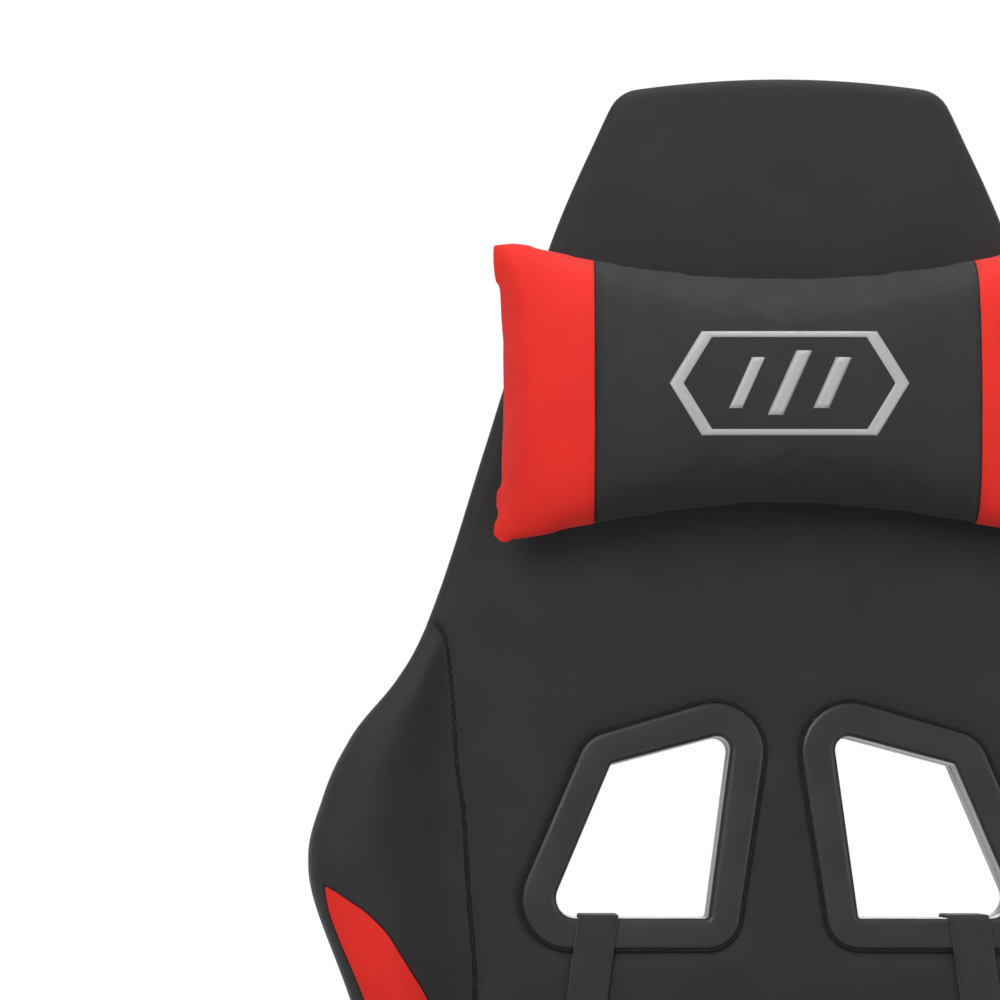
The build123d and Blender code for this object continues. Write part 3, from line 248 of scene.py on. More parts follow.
class Shader:
    """One node material under construction."""

    def __init__(self, name, roughness=0.5, metallic=0.0, specular=0.5, sheen=0.0):
        self.material = bpy.data.materials.new(name)
        self.material.use_nodes = True
        self.tree = self.material.node_tree
        self.surface = self.tree.nodes["Principled BSDF"]
        self.surface.inputs["Roughness"].default_value = roughness
        self.surface.inputs["Metallic"].default_value = metallic
        self.surface.inputs["Specular IOR Level"].default_value = specular
        self.surface.inputs["Sheen Weight"].default_value = sheen
        self.surface.inputs["Sheen Roughness"].default_value = 0.5
        self.place = self.node("ShaderNodeTexCoord").outputs["Object"]

    def node(self, kind, **settings):
        node = self.tree.nodes.new(kind)
        for key, value in settings.items():
            setattr(node, key, value)
        return node

    def link(self, source, target):
        self.tree.links.new(source, target)

    def noise(self, scale, detail=3.0, roughness=0.5):
        node = self.node("ShaderNodeTexNoise")
        self.link(self.place, node.inputs["Vector"])
        node.inputs["Scale"].default_value = scale
        node.inputs["Detail"].default_value = detail
        node.inputs["Roughness"].default_value = roughness
        return node.outputs["Fac"]

    def wave(self, scale, direction, distortion=0.0):
        node = self.node("ShaderNodeTexWave", bands_direction=direction)
        self.link(self.place, node.inputs["Vector"])
        node.inputs["Scale"].default_value = scale
        node.inputs["Distortion"].default_value = distortion
        return node.outputs["Fac"]

    def math(self, operation, a, b=0.0):
        node = self.node("ShaderNodeMath", operation=operation)
        for value, socket in ((a, node.inputs[0]), (b, node.inputs[1])):
            if isinstance(value, (int, float)):
                socket.default_value = value
            else:
                self.link(value, socket)
        return node.outputs[0]

    def remap(self, value, low, high, to_low=0.0, to_high=1.0):
        node = self.node("ShaderNodeMapRange", interpolation_type="SMOOTHSTEP")
        self.link(value, node.inputs["Value"])
        for key, number in zip(("From Min", "From Max", "To Min", "To Max"),
                               (low, high, to_low, to_high)):
            node.inputs[key].default_value = number
        return node.outputs["Result"]

    def mix(self, share, first, second):
        """Two colours mixed: the Mix node's inputs 0, 6 and 7 and its output 2 are for colours."""
        node = self.node("ShaderNodeMix", data_type="RGBA")
        for value, number in ((share, 0), (first, 6), (second, 7)):
            if isinstance(value, (int, float, tuple)):
                node.inputs[number].default_value = value
            else:
                self.link(value, node.inputs[number])
        return node.outputs[2]

    def attribute(self, name):
        return self.node("ShaderNodeAttribute", attribute_name=name).outputs["Fac"]

    def colour(self, value):
        if isinstance(value, tuple):
            self.surface.inputs["Base Color"].default_value = value
        else:
            self.link(value, self.surface.inputs["Base Color"])
        return self

    def rough(self, value):
        self.link(value, self.surface.inputs["Roughness"])
        return self

    def bump(self, *layers):
        """Layers of (height, depth in millimetres, strength), the coarsest first."""
        normal = None
        for height, depth, strength in layers:
            node = self.node("ShaderNodeBump")
            node.inputs["Distance"].default_value = depth * MM
            node.inputs["Strength"].default_value = strength
            self.link(height, node.inputs["Height"])
            if normal is not None:
                self.link(normal, node.inputs["Normal"])
            normal = node.outputs["Normal"]
        self.link(normal, self.surface.inputs["Normal"])
        return self


THREADS = 320  # weave waves per metre, over 2 pi
INSERT_BLEND = 0.0004  # metres over which a cloth turns red, each side of its seam
BLACK = linear(46, 46, 46)
BLACK_DEEP = linear(43, 43, 43)
RED = linear(222, 42, 33)
RED_DEEP = linear(216, 39, 31)


def cloth(name, insert=None):
    """Close-woven matte cloth: a fine plain weave, faint mottling, a little sheen, and an
    optional red insert where the mesh's own attribute is above zero."""
    s = Shader(name, specular=0.18, sheen=0.05)
    mottle = s.remap(s.noise(30, 4), 0.3, 0.7)
    black = s.mix(mottle, BLACK_DEEP, BLACK)
    if insert:
        red = s.mix(mottle, RED_DEEP, RED)
        edge = s.remap(s.attribute(insert), -INSERT_BLEND, INSERT_BLEND)
        s.colour(s.mix(edge, black, red))
    else:
        s.colour(black)
    s.rough(s.remap(s.noise(60, 3), 0.3, 0.7, 0.62, 0.74))
    warp = s.wave(THREADS, "X", distortion=0.4)
    weft = s.wave(THREADS, "Z", distortion=0.4)
    return s.bump(
        (s.noise(40, 3), 0.3, 0.2),
        (s.math("MULTIPLY", warp, weft), 0.05, 0.5),
        (s.noise(2600, 2), 0.03, 0.3),
    ).material


def moulded(name, colour, roughness=0.45, grain=1500, depth=0.05, specular=0.4):
    """Textured plastic or rubber, lighter where it is scuffed."""
    s = Shader(name, specular=specular)
    scuff = s.remap(s.noise(9, 6, 0.65), 0.58, 0.75, 0.0, 0.25)
    s.colour(s.mix(scuff, colour, shade(colour, 1.5, 0.008)))
    s.rough(s.remap(s.noise(35, 3), 0.3, 0.7, roughness - 0.05, roughness + 0.08))
    return s.bump((s.noise(grain, 2), depth, 0.35), (s.noise(30, 2), 0.3, 0.08)).material


def coated(name, colour, roughness=0.42):
    """Powder-coated steel with its orange-peel surface."""
    s = Shader(name, specular=0.45)
    s.colour(s.mix(s.remap(s.noise(12, 5), 0.4, 0.7), colour, shade(colour, 1.35)))
    s.rough(s.remap(s.noise(80, 2), 0.3, 0.7, roughness - 0.06, roughness + 0.08))
    return s.bump((s.noise(420, 2), 0.06, 0.3)).material


def metal(name, colour, roughness=0.3, streak="Z", streak_scale=900, depth=0.015):
    """Bare or plated steel with machining streaks across one axis."""
    s = Shader(name, roughness=roughness, metallic=1.0)
    stain = s.remap(s.noise(25, 5), 0.45, 0.75, 0.0, 0.5)
    s.colour(s.mix(stain, colour, shade(colour, 0.72)))
    s.rough(s.remap(s.noise(40, 4), 0.3, 0.7, roughness - 0.08, roughness + 0.12))
    return s.bump((s.wave(streak_scale, streak, distortion=2.0), depth, 0.3)).material


def woven(name, colour, across=24.0, rib=1.5, roughness=0.75):
    """Webbing: ribs along the strap and a herringbone of yarns, from the strap's own UVs,
    which run across it in x and along it in y, both in strap widths."""
    s = Shader(name, specular=0.25, sheen=0.15)
    uv = s.node("ShaderNodeTexCoord").outputs["UV"]
    split = s.node("ShaderNodeSeparateXYZ")
    s.link(uv, split.inputs[0])
    x, y = split.outputs[0], split.outputs[1]
    count = across / rib
    ribs = s.math("ABSOLUTE", s.math("SINE", s.math("MULTIPLY", x, pi * count)))
    lean = s.math("ABSOLUTE", s.math("SUBTRACT", s.math("FRACT", s.math("MULTIPLY", x, count)), 0.5))
    yarn = s.math("ADD", s.math("MULTIPLY", y, 1.4 * count), lean)
    yarns = s.math("ABSOLUTE", s.math("SINE", s.math("MULTIPLY", yarn, pi)))
    height = s.math("ADD", s.math("MULTIPLY", ribs, 0.6), s.math("MULTIPLY", yarns, 0.4))
    # Painted shade: the weave's low places, where the ribs and yarns dip, are coloured darker.
    s.colour(s.mix(s.remap(height, 0.1, 0.8), shade(colour, 0.55), colour))
    s.rough(s.remap(s.noise(50, 2), 0.3, 0.7, roughness - 0.05, roughness + 0.1))
    return s.bump((height, 0.35, 0.7)).material


def thread(name, colour, sheen=0.3, metallic=0.0, roughness=0.5):
    """Sewing or embroidery thread, as fine slanted strands."""
    s = Shader(name, metallic=metallic, specular=0.5, sheen=sheen)
    strands = s.wave(700, "DIAGONAL", distortion=0.6)
    # Painted shade: the thread is coloured darker between its strands, where the strand pattern is low.
    s.colour(s.mix(s.remap(strands, 0.2, 0.9), shade(colour, 0.6), colour))
    s.rough(s.remap(s.noise(200, 2), 0.3, 0.7, roughness - 0.08, roughness + 0.1))
    return s.bump((strands, 0.15, 0.6)).material


def paint(piece, *materials):
    piece.data.materials.clear()
    for material in materials:
        piece.data.materials.append(material)
    return piece


CLOTH = cloth("cloth_black")
CLOTH_RED = cloth("cloth_with_red", insert="red")
BEZEL_PLASTIC = moulded("bezel_plastic", linear(44, 46, 45), 0.36, 1300, 0.03, 0.35)
# The slot liner's light grey is painted light: a reflection of the white surroundings on its walls, seen at a
# grazing angle.
LINER_PAINTED_REFLECTION = moulded("liner_painted_reflection", linear(176, 177, 177), 0.3, 1300, 0.02, 0.4)
SATIN = moulded("satin_plastic", linear(36, 37, 38), 0.42, 1400, 0.04)
NYLON = moulded("black_nylon", linear(34, 35, 36), 0.5, 900, 0.08)
PAD_FOAM = moulded("pad_foam", linear(33, 34, 35), 0.58, 1100, 0.07, 0.3)
TREAD = moulded("wheel_tread", linear(28, 28, 29), 0.5, 700, 0.08, 0.35)
ACETAL = moulded("acetal", linear(196, 192, 178), 0.4, 800, 0.03)
COATED = coated("black_steel", linear(36, 37, 38))
CHROME = metal("chrome_rod", linear(205, 206, 208), 0.12, streak_scale=1500, depth=0.004)
STEEL = metal("bright_steel", linear(168, 169, 172), 0.3)
ZINC = metal("zinc_plate", linear(178, 178, 168), 0.34, "DIAGONAL", 500)
SPRING = metal("spring_steel", linear(96, 96, 100), 0.36, "X", 700)
WEBBING = woven("webbing", linear(52, 52, 53))
ELASTIC = woven("elastic", linear(40, 40, 41), across=50.0, rib=2.2)
# Near-black seam thread; the same colour also serves as painted shadow in the cord round each slot surround.
SEAM_THREAD_AND_GAP_SHADOW = thread("seam_thread_and_gap_shadow", linear(5, 5, 5), sheen=0.0, roughness=0.8)
SILVER = thread("silver_thread", linear(188, 190, 192), metallic=0.25, roughness=0.42)


# ======== camera, light and stage
def make_camera():
    """The photograph's viewpoint: high, to the chair's right, through a long lens."""
    face = on_back(0, 374, 30)  # the slots' height on the back's face
    data = bpy.data.cameras.new("camera")
    data.sensor_width = 36
    data.lens = 162
    data.clip_end = 60
    camera = bpy.data.objects.new("camera", data)
    camera.location = (-0.158, face.y - 2.7, 1.072)
    camera.rotation_euler = (radians(90 - 1.57), 0, radians(0.255))
    scene.collection.objects.link(camera)
    scene.camera = camera


def make_lamp(name, place, aim, size, power):
    data = bpy.data.lights.new(name, "AREA")
    data.shape = "RECTANGLE"
    data.size, data.size_y = size
    data.energy = power
    lamp = bpy.data.objects.new(name, data)
    lamp.location = place
    lamp.rotation_euler = (Vector(aim) - Vector(place)).to_track_quat("-Z", "Y").to_euler()
    scene.collection.objects.link(lamp)


def make_world():
    """A pale studio: white where it is seen, dimmer where it only lights the chair."""
    world = bpy.data.worlds.new("studio")
    world.use_nodes = True
    scene.world = world
    tree = world.node_tree
    light = tree.nodes["Background"]
    light.inputs["Color"].default_value = (1, 1, 1, 1)
    light.inputs["Strength"].default_value = 0.42
    seen = tree.nodes.new("ShaderNodeBackground")
    seen.inputs["Color"].default_value = (1, 1, 1, 1)
    seen.inputs["Strength"].default_value = 1.0
    path = tree.nodes.new("ShaderNodeLightPath")
    mix = tree.nodes.new("ShaderNodeMixShader")
    tree.links.new(path.outputs["Is Camera Ray"], mix.inputs[0])
    tree.links.new(light.outputs[0], mix.inputs[1])
    tree.links.new(seen.outputs[0], mix.inputs[2])
    tree.links.new(mix.outputs[0], tree.nodes["World Output"].inputs["Surface"])


def make_floor():
    """A pale floor that melts into the white behind it, a way off from the chair."""
    floor = mesh_object("floor", [(-7, -7, 0), (7, -7, 0), (7, 5, 0), (-7, 5, 0)], [(0, 1, 2, 3)],
                        smooth=False)
    s = Shader("floor", roughness=0.7, specular=0.2)
    s.colour(s.mix(s.noise(3, 2), linear(236, 236, 236), linear(242, 242, 242)))
    distance = s.node("ShaderNodeVectorMath", operation="LENGTH")
    s.link(s.place, distance.inputs[0])
    far = s.remap(distance.outputs["Value"], 1.0, 3.2)
    white = s.node("ShaderNodeEmission")
    white.inputs["Color"].default_value = (1, 1, 1, 1)
    seen = s.node("ShaderNodeLightPath").outputs["Is Camera Ray"]
    blend = s.node("ShaderNodeMixShader")
    s.link(s.math("MULTIPLY", far, seen), blend.inputs[0])
    s.link(s.surface.outputs[0], blend.inputs[1])
    s.link(white.outputs[0], blend.inputs[2])
    s.link(blend.outputs[0], s.tree.nodes["Material Output"].inputs["Surface"])
    paint(floor, s.material)


scene.view_settings.view_transform = "Standard"
make_camera()
make_world()
make_floor()
make_lamp("key", (-1.6, -2.6, 2.6), (0, 0.2, 0.9), (1.8, 1.8), 62)
make_lamp("fill", (2.4, -2.0, 1.6), (0, 0.2, 0.8), (1.6, 2.2), 26)
make_lamp("top", (0.2, 0.3, 3.2), (0, 0.2, 0), (2.2, 2.2), 36)
make_lamp("rear", (0.8, 3.2, 1.9), (0, 0.2, 0.7), (2.2, 1.8), 40)


# ======== the back's outline
BACK_TOP = 815
SLAB = 30
CROWN_R = 629
SIDE = ((224, 0), (224, 80), (225, 160), (258.5, 258.8), (283.2, 331), (275.2, 376), (258.6, 412),
        (228.5, 452), (206.3, 503), (178, 593), (139, 715), (103.8, 796.5))
CORNER = ((85.2, 789), 20)  # centre and radius of the head's corner
SEAM = ((210, 484), (205.9, 480), (201.9, 468), (198.7, 439), (196.1, 399), (191.8, 368), (188.5, 316),
        (185, 266), (188, 210), (202, 160), (224, 118))
OPENING = ((30.2, 417.5), (45.2, 305.8), (142.4, 305.8), (103.3, 398))
OPENING_RADII = (8, 2, 12, 2)
BEZEL = ((4.2, 447.5), (28.7, 287), (172.9, 287), (118, 414))
BEZEL_RADII = (30, 20, 30, 22)
RED_INNER = ((275, 326), (268.3, 323), (258.3, 316.3), (249.4, 310.4), (237.5, 298.6), (229.7, 286.7),
             (222.6, 274.9), (213, 258.4), (203, 232), (195, 200), (192, 172))
# Height along the back, then the margin between the red insert and the wing's outer edge.
RED_MARGIN = ((250, 8), (290, 6), (310, 6), (326, 8))
RED_FOOT, RED_HEAD = 168, 326

side_line = through(SIDE, 16)
corner_line = arc(*CORNER, 21.9, 82, 14)
crown_line = np.array([(u, BACK_TOP - CROWN_R + (CROWN_R**2 - u**2) ** 0.5)
                       for u in np.linspace(87, 0, 16)])
half_outline = np.vstack([side_line, corner_line[1:], crown_line])
seam_line = through(SEAM, 10)
opening_line = rounded(OPENING, OPENING_RADII)
bezel_line = rounded(BEZEL, BEZEL_RADII, 14)


def half_width(w):
    """Half the back's width at a height up the back."""
    return np.interp(w, side_line[:, 1], side_line[:, 0])


def seam_at(w):
    """How far across the wing's seam is at a height up the back."""
    return np.interp(w, seam_line[::-1, 1], seam_line[::-1, 0])


# Height along the back, then how far a wing stands forward there.
WING_HEIGHTS = ((100, 0), (125, 3), (160, 15), (210, 30), (270, 38), (340, 40), (400, 35),
                (436, 23), (464, 10), (478, 3), (488, 0))
# Height along the back, then how far the rounded edge reaches inwards.
EDGE_ROUNDS = ((0, 15), (120, 15), (250, 21), (340, 23), (410, 18), (452, 12), (520, 9), (815, 8))


def ripples(points, across, along, seed):
    """Smooth noise over a face, from -1 to 1."""
    return np.array([noise.noise(Vector((a * across, b * along, seed))) for a, b in points])


def front_height(points):
    """How far forward of the back's mid-plane its front face stands, in millimetres."""
    u, w = np.abs(points[:, 0]), points[:, 1]
    hw = half_width(w)
    seam = np.minimum(seam_at(w), hw - 1)
    rise = np.interp(w, *zip(*WING_HEIGHTS))
    share = np.clip((u - seam) / np.maximum(hw - seam, 8), 0, 1.2)
    bolster = ease(share / 0.68) * (1 - 0.15 * ease((share - 0.6) / 0.5))
    middle = 1.8 * (1 - np.clip(u / np.maximum(seam, 1), 0, 1) ** 2)
    near_slot = np.minimum(signed(bezel_line, np.stack([u, w], 1)), 60)
    swell = 1.5 * ease(near_slot / 14) - 0.9 * (near_slot < 5)
    to_seam = distance_to(seam_line, np.stack([u, w], 1))
    groove = -2.6 * np.exp(-((to_seam / 2.6) ** 2)) * ease((489 - w) / 12) * ease((w - 105) / 30)
    ripple, fine = ripples(points, 0.011, 0.007, 3.1), ripples(points, 0.05, 0.03, 9.7)
    calm = ease(near_slot / 30)
    return SLAB - 0.6 + middle + rise * bolster + swell + groove + calm * (0.9 * ripple + 0.18 * fine)


def rear_height(points):
    u, w = np.abs(points[:, 0]), points[:, 1]
    bow = 2.0 * (1 - np.clip(u / half_width(w), 0, 1) ** 2)
    near_slot = np.minimum(signed(bezel_line, np.stack([u, w], 1)), 60)
    swell = 1.2 * ease(near_slot / 14) - 0.9 * (near_slot < 5)
    ripple = ripples(points, 0.012, 0.008, 7.3)
    return -(SLAB - 0.6 + bow + swell * (near_slot < 60) + 0.5 * ripple * ease(near_slot / 30))


def patch(left, bottom, right, top):
    """A Coons patch: a grid of points filling four boundary curves."""
    rows, columns = len(left), len(bottom)
    r = np.linspace(0, 1, rows)[:, None, None]
    c = np.linspace(0, 1, columns)[None, :, None]
    ruled = (1 - r) * bottom[None] + r * top[None] + (1 - c) * left[:, None] + c * right[:, None]
    corners = ((1 - r) * (1 - c) * bottom[0] + (1 - r) * c * bottom[-1]
               + r * (1 - c) * top[0] + r * c * top[-1])
    return ruled - corners


def smooth_loop(values, passes):
    for _ in range(passes):
        values = 0.5 * values + 0.25 * (np.roll(values, 1, 0) + np.roll(values, -1, 0))
    return values


def outward(line):
    """The directions out of an open outline that runs with its inside on the left."""
    tangent = np.gradient(line, axis=0)
    normal = np.stack([tangent[:, 1], -tangent[:, 0]], 1)
    return normal / np.linalg.norm(normal, axis=1)[:, None]


def grow_border(spots, reach):
    """Outward vectors of a border loop, as long as its rounded edge reaches."""
    along = np.roll(spots, -1, 0) - np.roll(spots, 1, 0)
    out = np.stack([along[:, 1], -along[:, 0]], 1)
    out /= np.linalg.norm(out, axis=1)[:, None]
    return smooth_loop(out * reach[:, None], 10)


def shell(name, sides, front_height, rear_height, reach, place, cut=None, bow=0.1, steps=None):
    """A closed padded form: a front and a rear face on one grid, joined by a rounded edge.

    sides are the grid's left, bottom, right and top curves. reach gives the edge's radius at
    each border point. cut says which cells are open right through. steps, if given, replaces
    the edge's rear half: (share of reach, height) pairs."""
    grid = patch(*sides)
    rows, columns = grid.shape[:2]
    flat = grid.reshape(-1, 2)
    front, rear = front_height(flat), rear_height(flat)
    cells = [(i, j) for i in range(rows - 1) for j in range(columns - 1)]
    if cut:
        centres = np.array([(grid[i, j] + grid[i + 1, j + 1]) / 2 for i, j in cells])
        cells = [cell for cell, is_open in zip(cells, cut(centres)) if not is_open]
    kept = set(cells)

    def number(spot, is_rear=False):
        return spot[0] * columns + spot[1] + (rows * columns if is_rear else 0)

    faces = []
    for i, j in cells:
        square = ((i, j), (i, j + 1), (i + 1, j + 1), (i + 1, j))
        faces.append([number(p) for p in square])
        faces.append([number(p, True) for p in square][::-1])
        beyond = ((i - 1, j), (i, j + 1), (i + 1, j), (i, j - 1))
        for k, (y, x) in enumerate(beyond):
            if (y, x) not in kept and 0 <= y < rows - 1 and 0 <= x < columns - 1:
                a, b = square[k], square[(k + 1) % 4]
                faces.append([number(b), number(a), number(a, True), number(b, True)])

    border = ([(0, j) for j in range(columns)] + [(i, columns - 1) for i in range(1, rows)]
              + [(rows - 1, j) for j in range(columns - 2, -1, -1)]
              + [(i, 0) for i in range(rows - 2, 0, -1)])
    spots = np.array([grid[spot] for spot in border])
    push = grow_border(spots, reach(spots))
    length = np.linalg.norm(push, axis=1)
    front_edge = np.array([front[number(spot)] for spot in border])
    rear_edge = np.array([rear[number(spot)] for spot in border])
    rings = [(sin(a), front_edge - length * (1 - cos(a))) for a in np.radians(range(12, 91, 13))]
    if steps is None:
        low, high = rear_edge + length, front_edge - length
        rings += [(1 + bow * sin(pi * t), high + (low - high) * t) for t in (0.25, 0.5, 0.75)]
        rings += [(sin(a), rear_edge + length * (1 - cos(a))) for a in np.radians(range(90, 11, -13))]
    else:
        rings += [(grow, np.full(len(spots), height)) for grow, height in steps]
    vertices = np.vstack([np.column_stack([flat, front]), np.column_stack([flat, rear])]
                         + [np.column_stack([spots + push * grow, height]) for grow, height in rings])
    n = len(border)
    first = 2 * rows * columns
    loops = [[number(spot) for spot in border]]
    loops += [list(range(first + k * n, first + (k + 1) * n)) for k in range(len(rings))]
    loops += [[number(spot, True) for spot in border]]
    for a, b in zip(loops[:-1], loops[1:]):
        faces += [[a[k], a[(k + 1) % n], b[(k + 1) % n], b[k]] for k in range(n)]
    used = sorted({index for face in faces for index in face})
    renumber = {old: new for new, old in enumerate(used)}
    return mesh_object(name, place(vertices[used]), [[renumber[i] for i in f] for f in faces])


def make_back_cover():
    """The back's upholstery, with open slots and a red insert on each wing."""
    # The face's border lies inside the outline by the reach of the rounded edge.
    rounds = np.interp(half_outline[:, 1], *zip(*EDGE_ROUNDS))
    inner = half_outline - outward(half_outline) * rounds[:, None]
    middle = len(side_line) + len(corner_line) // 2
    rows, half_columns = 262, 75
    flip = np.array([-1, 1])
    right = evenly(inner[:middle], rows)
    top = evenly(inner[middle - 1:], half_columns + 1)
    top = np.vstack([top * flip, top[::-1][1:]])
    bottom = evenly([right[0] * flip, right[0]], len(top))

    def reach(spots):
        found = np.interp(spots[:, 1], *zip(*EDGE_ROUNDS))
        found[:len(top)] = SLAB
        return found

    def cut(centres):
        return signed(opening_line, np.stack([np.abs(centres[:, 0]), centres[:, 1]], 1)) < 4

    cover = shell("back_cover", (right * flip, bottom, right, top), front_height, rear_height,
                  reach, from_back, cut)
    local = to_back(coordinates(cover))
    u, w, v = np.abs(local[:, 0]), local[:, 1], local[:, 2]
    inner_edge = through(RED_INNER, 8)[::-1]
    edge = np.interp(w, inner_edge[:, 1], inner_edge[:, 0])
    slope = np.interp(w, inner_edge[:, 1], np.gradient(inner_edge[:, 0], inner_edge[:, 1]))
    from_inner = (u - edge) / np.sqrt(1 + slope**2)
    from_outer = half_width(w) - np.interp(w, *zip(*RED_MARGIN)) - u
    red = np.minimum(np.minimum(from_inner, from_outer), np.minimum(w - RED_FOOT, RED_HEAD - w))
    mark(cover, "red", np.where(v > 0, red, -20) * MM)
    paint(cover, CLOTH_RED)
    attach(cover, "back")
    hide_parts("back_cushion")
    return cover


CORD_SIDES = 8


def tube_along(name, points, radius, material, body, closed=False):
    """A thin round cord through points in metres, kept upright along its way."""
    p = np.asarray(points, float)
    n = len(p)
    rings = []
    normal = None
    for k in range(n):
        if closed:
            along = Vector(p[(k + 1) % n] - p[k - 1])
        else:
            along = Vector(p[min(k + 1, n - 1)] - p[max(k - 1, 0)])
        along.normalize()
        if normal is None:
            normal = along.orthogonal().normalized()
        normal = (normal - along * normal.dot(along)).normalized()
        side = along.cross(normal)
        rings.append([Vector(p[k]) + (normal * cos(t) + side * sin(t)) * radius * MM
                      for t in np.linspace(0, 2 * pi, CORD_SIDES, endpoint=False)])
    if closed:
        rings.append(rings[0])
    piece = rings_object(name, rings, caps=not closed)
    paint(piece, material)
    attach(piece, body)
    return piece


# Draws seam thread lines, and also the painted-shadow cord round each slot surround.
def thread_and_shadow_line(name, path, radius, body, closed=False):
    tube_along(name, path, radius, SEAM_THREAD_AND_GAP_SHADOW, body, closed)


def drape(tree, path, toward, lift=0.0, reach=0.2):
    """Each point of a path moved along a direction onto a surface, plus a lift in millimetres."""
    toward = Vector(toward).normalized()
    out = []
    for p in path:
        hit = tree.ray_cast(Vector(p) - toward * reach, toward, 2 * reach)[0]
        if hit is not None:
            out.append(hit - toward * lift * MM)
    return out


def make_back_seams(cover):
    """The dark piping between the centre panel and each wing, and round each red insert."""
    tree = tree_of(cover)
    seam = evenly(seam_line[2:-2], 150)
    insert = through(RED_INNER, 10)
    outer_w = np.linspace(RED_FOOT, RED_HEAD - 1, 70)
    outer = np.stack([half_width(outer_w) - np.interp(outer_w, *zip(*RED_MARGIN)), outer_w], 1)
    ring = evenly(np.vstack([insert, outer]), 170, closed=True)
    for side, label in ((1, "left"), (-1, "right")):
        for name, line, closed, radius, lift in (
                ("wing_seam", seam, False, 1.3, 0.1), ("insert_seam", ring, True, 0.6, 0.0)):
            path = drape(tree, [on_back(side * u, w, 0) for u, w in line], -FORWARD, lift)
            thread_and_shadow_line(f"{name}_{label}", path, radius, "back", closed)


back_cover = make_back_cover()
make_back_seams(back_cover)


# ======== slot surrounds
def with_sides(corners, radii, per_corner=10, per_side=12):
    """A rounded outline with points along its straight sides too, so that two such outlines
    match point for point."""
    line = rounded(corners, radii, per_corner)
    out = []
    for k in range(0, len(line), per_corner):
        out += list(line[k:k + per_corner])
        a, b = line[k + per_corner - 1], line[(k + per_corner) % len(line)]
        out += [a + (b - a) * t for t in np.linspace(0, 1, per_side + 2)[1:-1]]
    return np.array(out)


def make_surround(name, side, facing, node):
    """A satin plastic ring with eased edges and a liner to the middle of the slot."""
    outer = with_sides(BEZEL, BEZEL_RADII)
    inner = with_sides(OPENING, OPENING_RADII)
    gap = inner - outer
    width = np.linalg.norm(gap, axis=1)[:, None]
    step = gap / width
    # Distance in from the outer edge (negative: back from the inner edge) and height.
    profile = ((0, 27), (0, 31.4), (0.5, 32.3), (1.6, 32.9), (3.2, 33.1), (-4.2, 33.1), (-2.4, 32.8),
               (-1.0, 32.0), (-0.3, 30.8), (0.0, 29.0), (0.0, 15), (0.0, 0.2))
    rings = []
    for k, (at, v) in enumerate(profile):
        from_outer = at > 0 or k < 2
        line = outer + step * at if from_outer else inner + step * at
        rings.append([on_back(side * u, w, facing * v) for u, w in line])
    for back, v in ((2.0, 0.2), (2.0, 27)):
        rings.append([on_back(side * u, w, facing * v) for u, w in inner - step * back])
    rings.append(rings[0])
    piece = rings_object(name, rings, caps=False)
    paint(piece, BEZEL_PLASTIC, LINER_PAINTED_REFLECTION)
    middles = to_back([polygon.center for polygon in piece.data.polygons])
    spots = np.stack([np.abs(middles[:, 0]), middles[:, 1]], 1)
    # The liner's wall faces take the light grey of the painted reflection.
    wall = (distance_to(inner, spots, closed=True) < 0.6) & (np.abs(middles[:, 2]) < 29)
    for polygon, is_wall in zip(piece.data.polygons, wall):
        polygon.material_index = int(is_wall)
    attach(piece, "back")
    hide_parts(node)
    return piece


# The cord round each front surround is painted shadow: a near-black tube standing in for the shade in the gap
# there.
GAP_SHADOW_R, GAP_SHADOW_OUT, GAP_SHADOW_V = 0.9, 0.7, 31.6


def make_gap_shadow_cord(label, side):
    """A near-black cord of painted shadow that fills the line between a front surround and the cloth."""
    line = with_sides(BEZEL, BEZEL_RADII)
    tangent = np.roll(line, -1, 0) - np.roll(line, 1, 0)
    normal = np.stack([tangent[:, 1], -tangent[:, 0]], 1)
    normal /= np.linalg.norm(normal, axis=1)[:, None]
    if signed(line, line[:1] + 2 * normal[:1])[0] < 0:
        normal = -normal
    line = evenly(line + GAP_SHADOW_OUT * normal, 240, closed=True)
    path = [on_back(side * u, w, GAP_SHADOW_V) for u, w in line]
    thread_and_shadow_line(f"slot_gap_shadow_{label}", path, GAP_SHADOW_R, "back", closed=True)


for label, side in (("left", 1), ("right", -1)):
    make_gap_shadow_cord(label, side)
    make_surround(f"slot_surround_front_{label}", side, 1, "vent_bezels_front")
    make_surround(f"slot_surround_rear_{label}", side, -1, "vent_bezels_rear")


# ======== stuffed cushions
SIMULATED_FRAMES = 20


def simulate(piece, voxel, pressure, cap):
    """Blows a closed form up like a stuffed cover, moving no point further than the cap."""
    remesh = piece.modifiers.new("remesh", "REMESH")
    remesh.mode = "VOXEL"
    remesh.voxel_size = voxel * MM
    apply_modifiers(piece)
    even = piece.modifiers.new("even", "SMOOTH")
    even.factor = 0.5
    even.iterations = 4
    apply_modifiers(piece)
    rest = coordinates(piece)
    cloth = piece.modifiers.new("cloth", "CLOTH")
    settings = cloth.settings
    settings.quality = 6
    settings.mass = 0.25
    settings.tension_stiffness = settings.compression_stiffness = 14
    settings.shear_stiffness = 6
    settings.bending_stiffness = 0.6
    settings.use_pressure = True
    settings.uniform_pressure_force = pressure
    settings.effector_weights.gravity = 0
    cloth.point_cache.frame_start, cloth.point_cache.frame_end = 1, SIMULATED_FRAMES
    for number in range(1, SIMULATED_FRAMES + 1):
        scene.frame_set(number)
    apply_modifiers(piece)
    scene.frame_set(1)
    moved = coordinates(piece) - rest
    ahead = np.array(FORWARD)
    moved = (moved + 2 * np.outer(moved @ ahead, ahead)) / 3  # keeps its outline
    size = np.linalg.norm(moved, axis=1)[:, None]
    set_coordinates(piece, rest + moved * np.minimum(1, cap * MM / np.maximum(size, 1e-9)))
    return subdivide(piece)


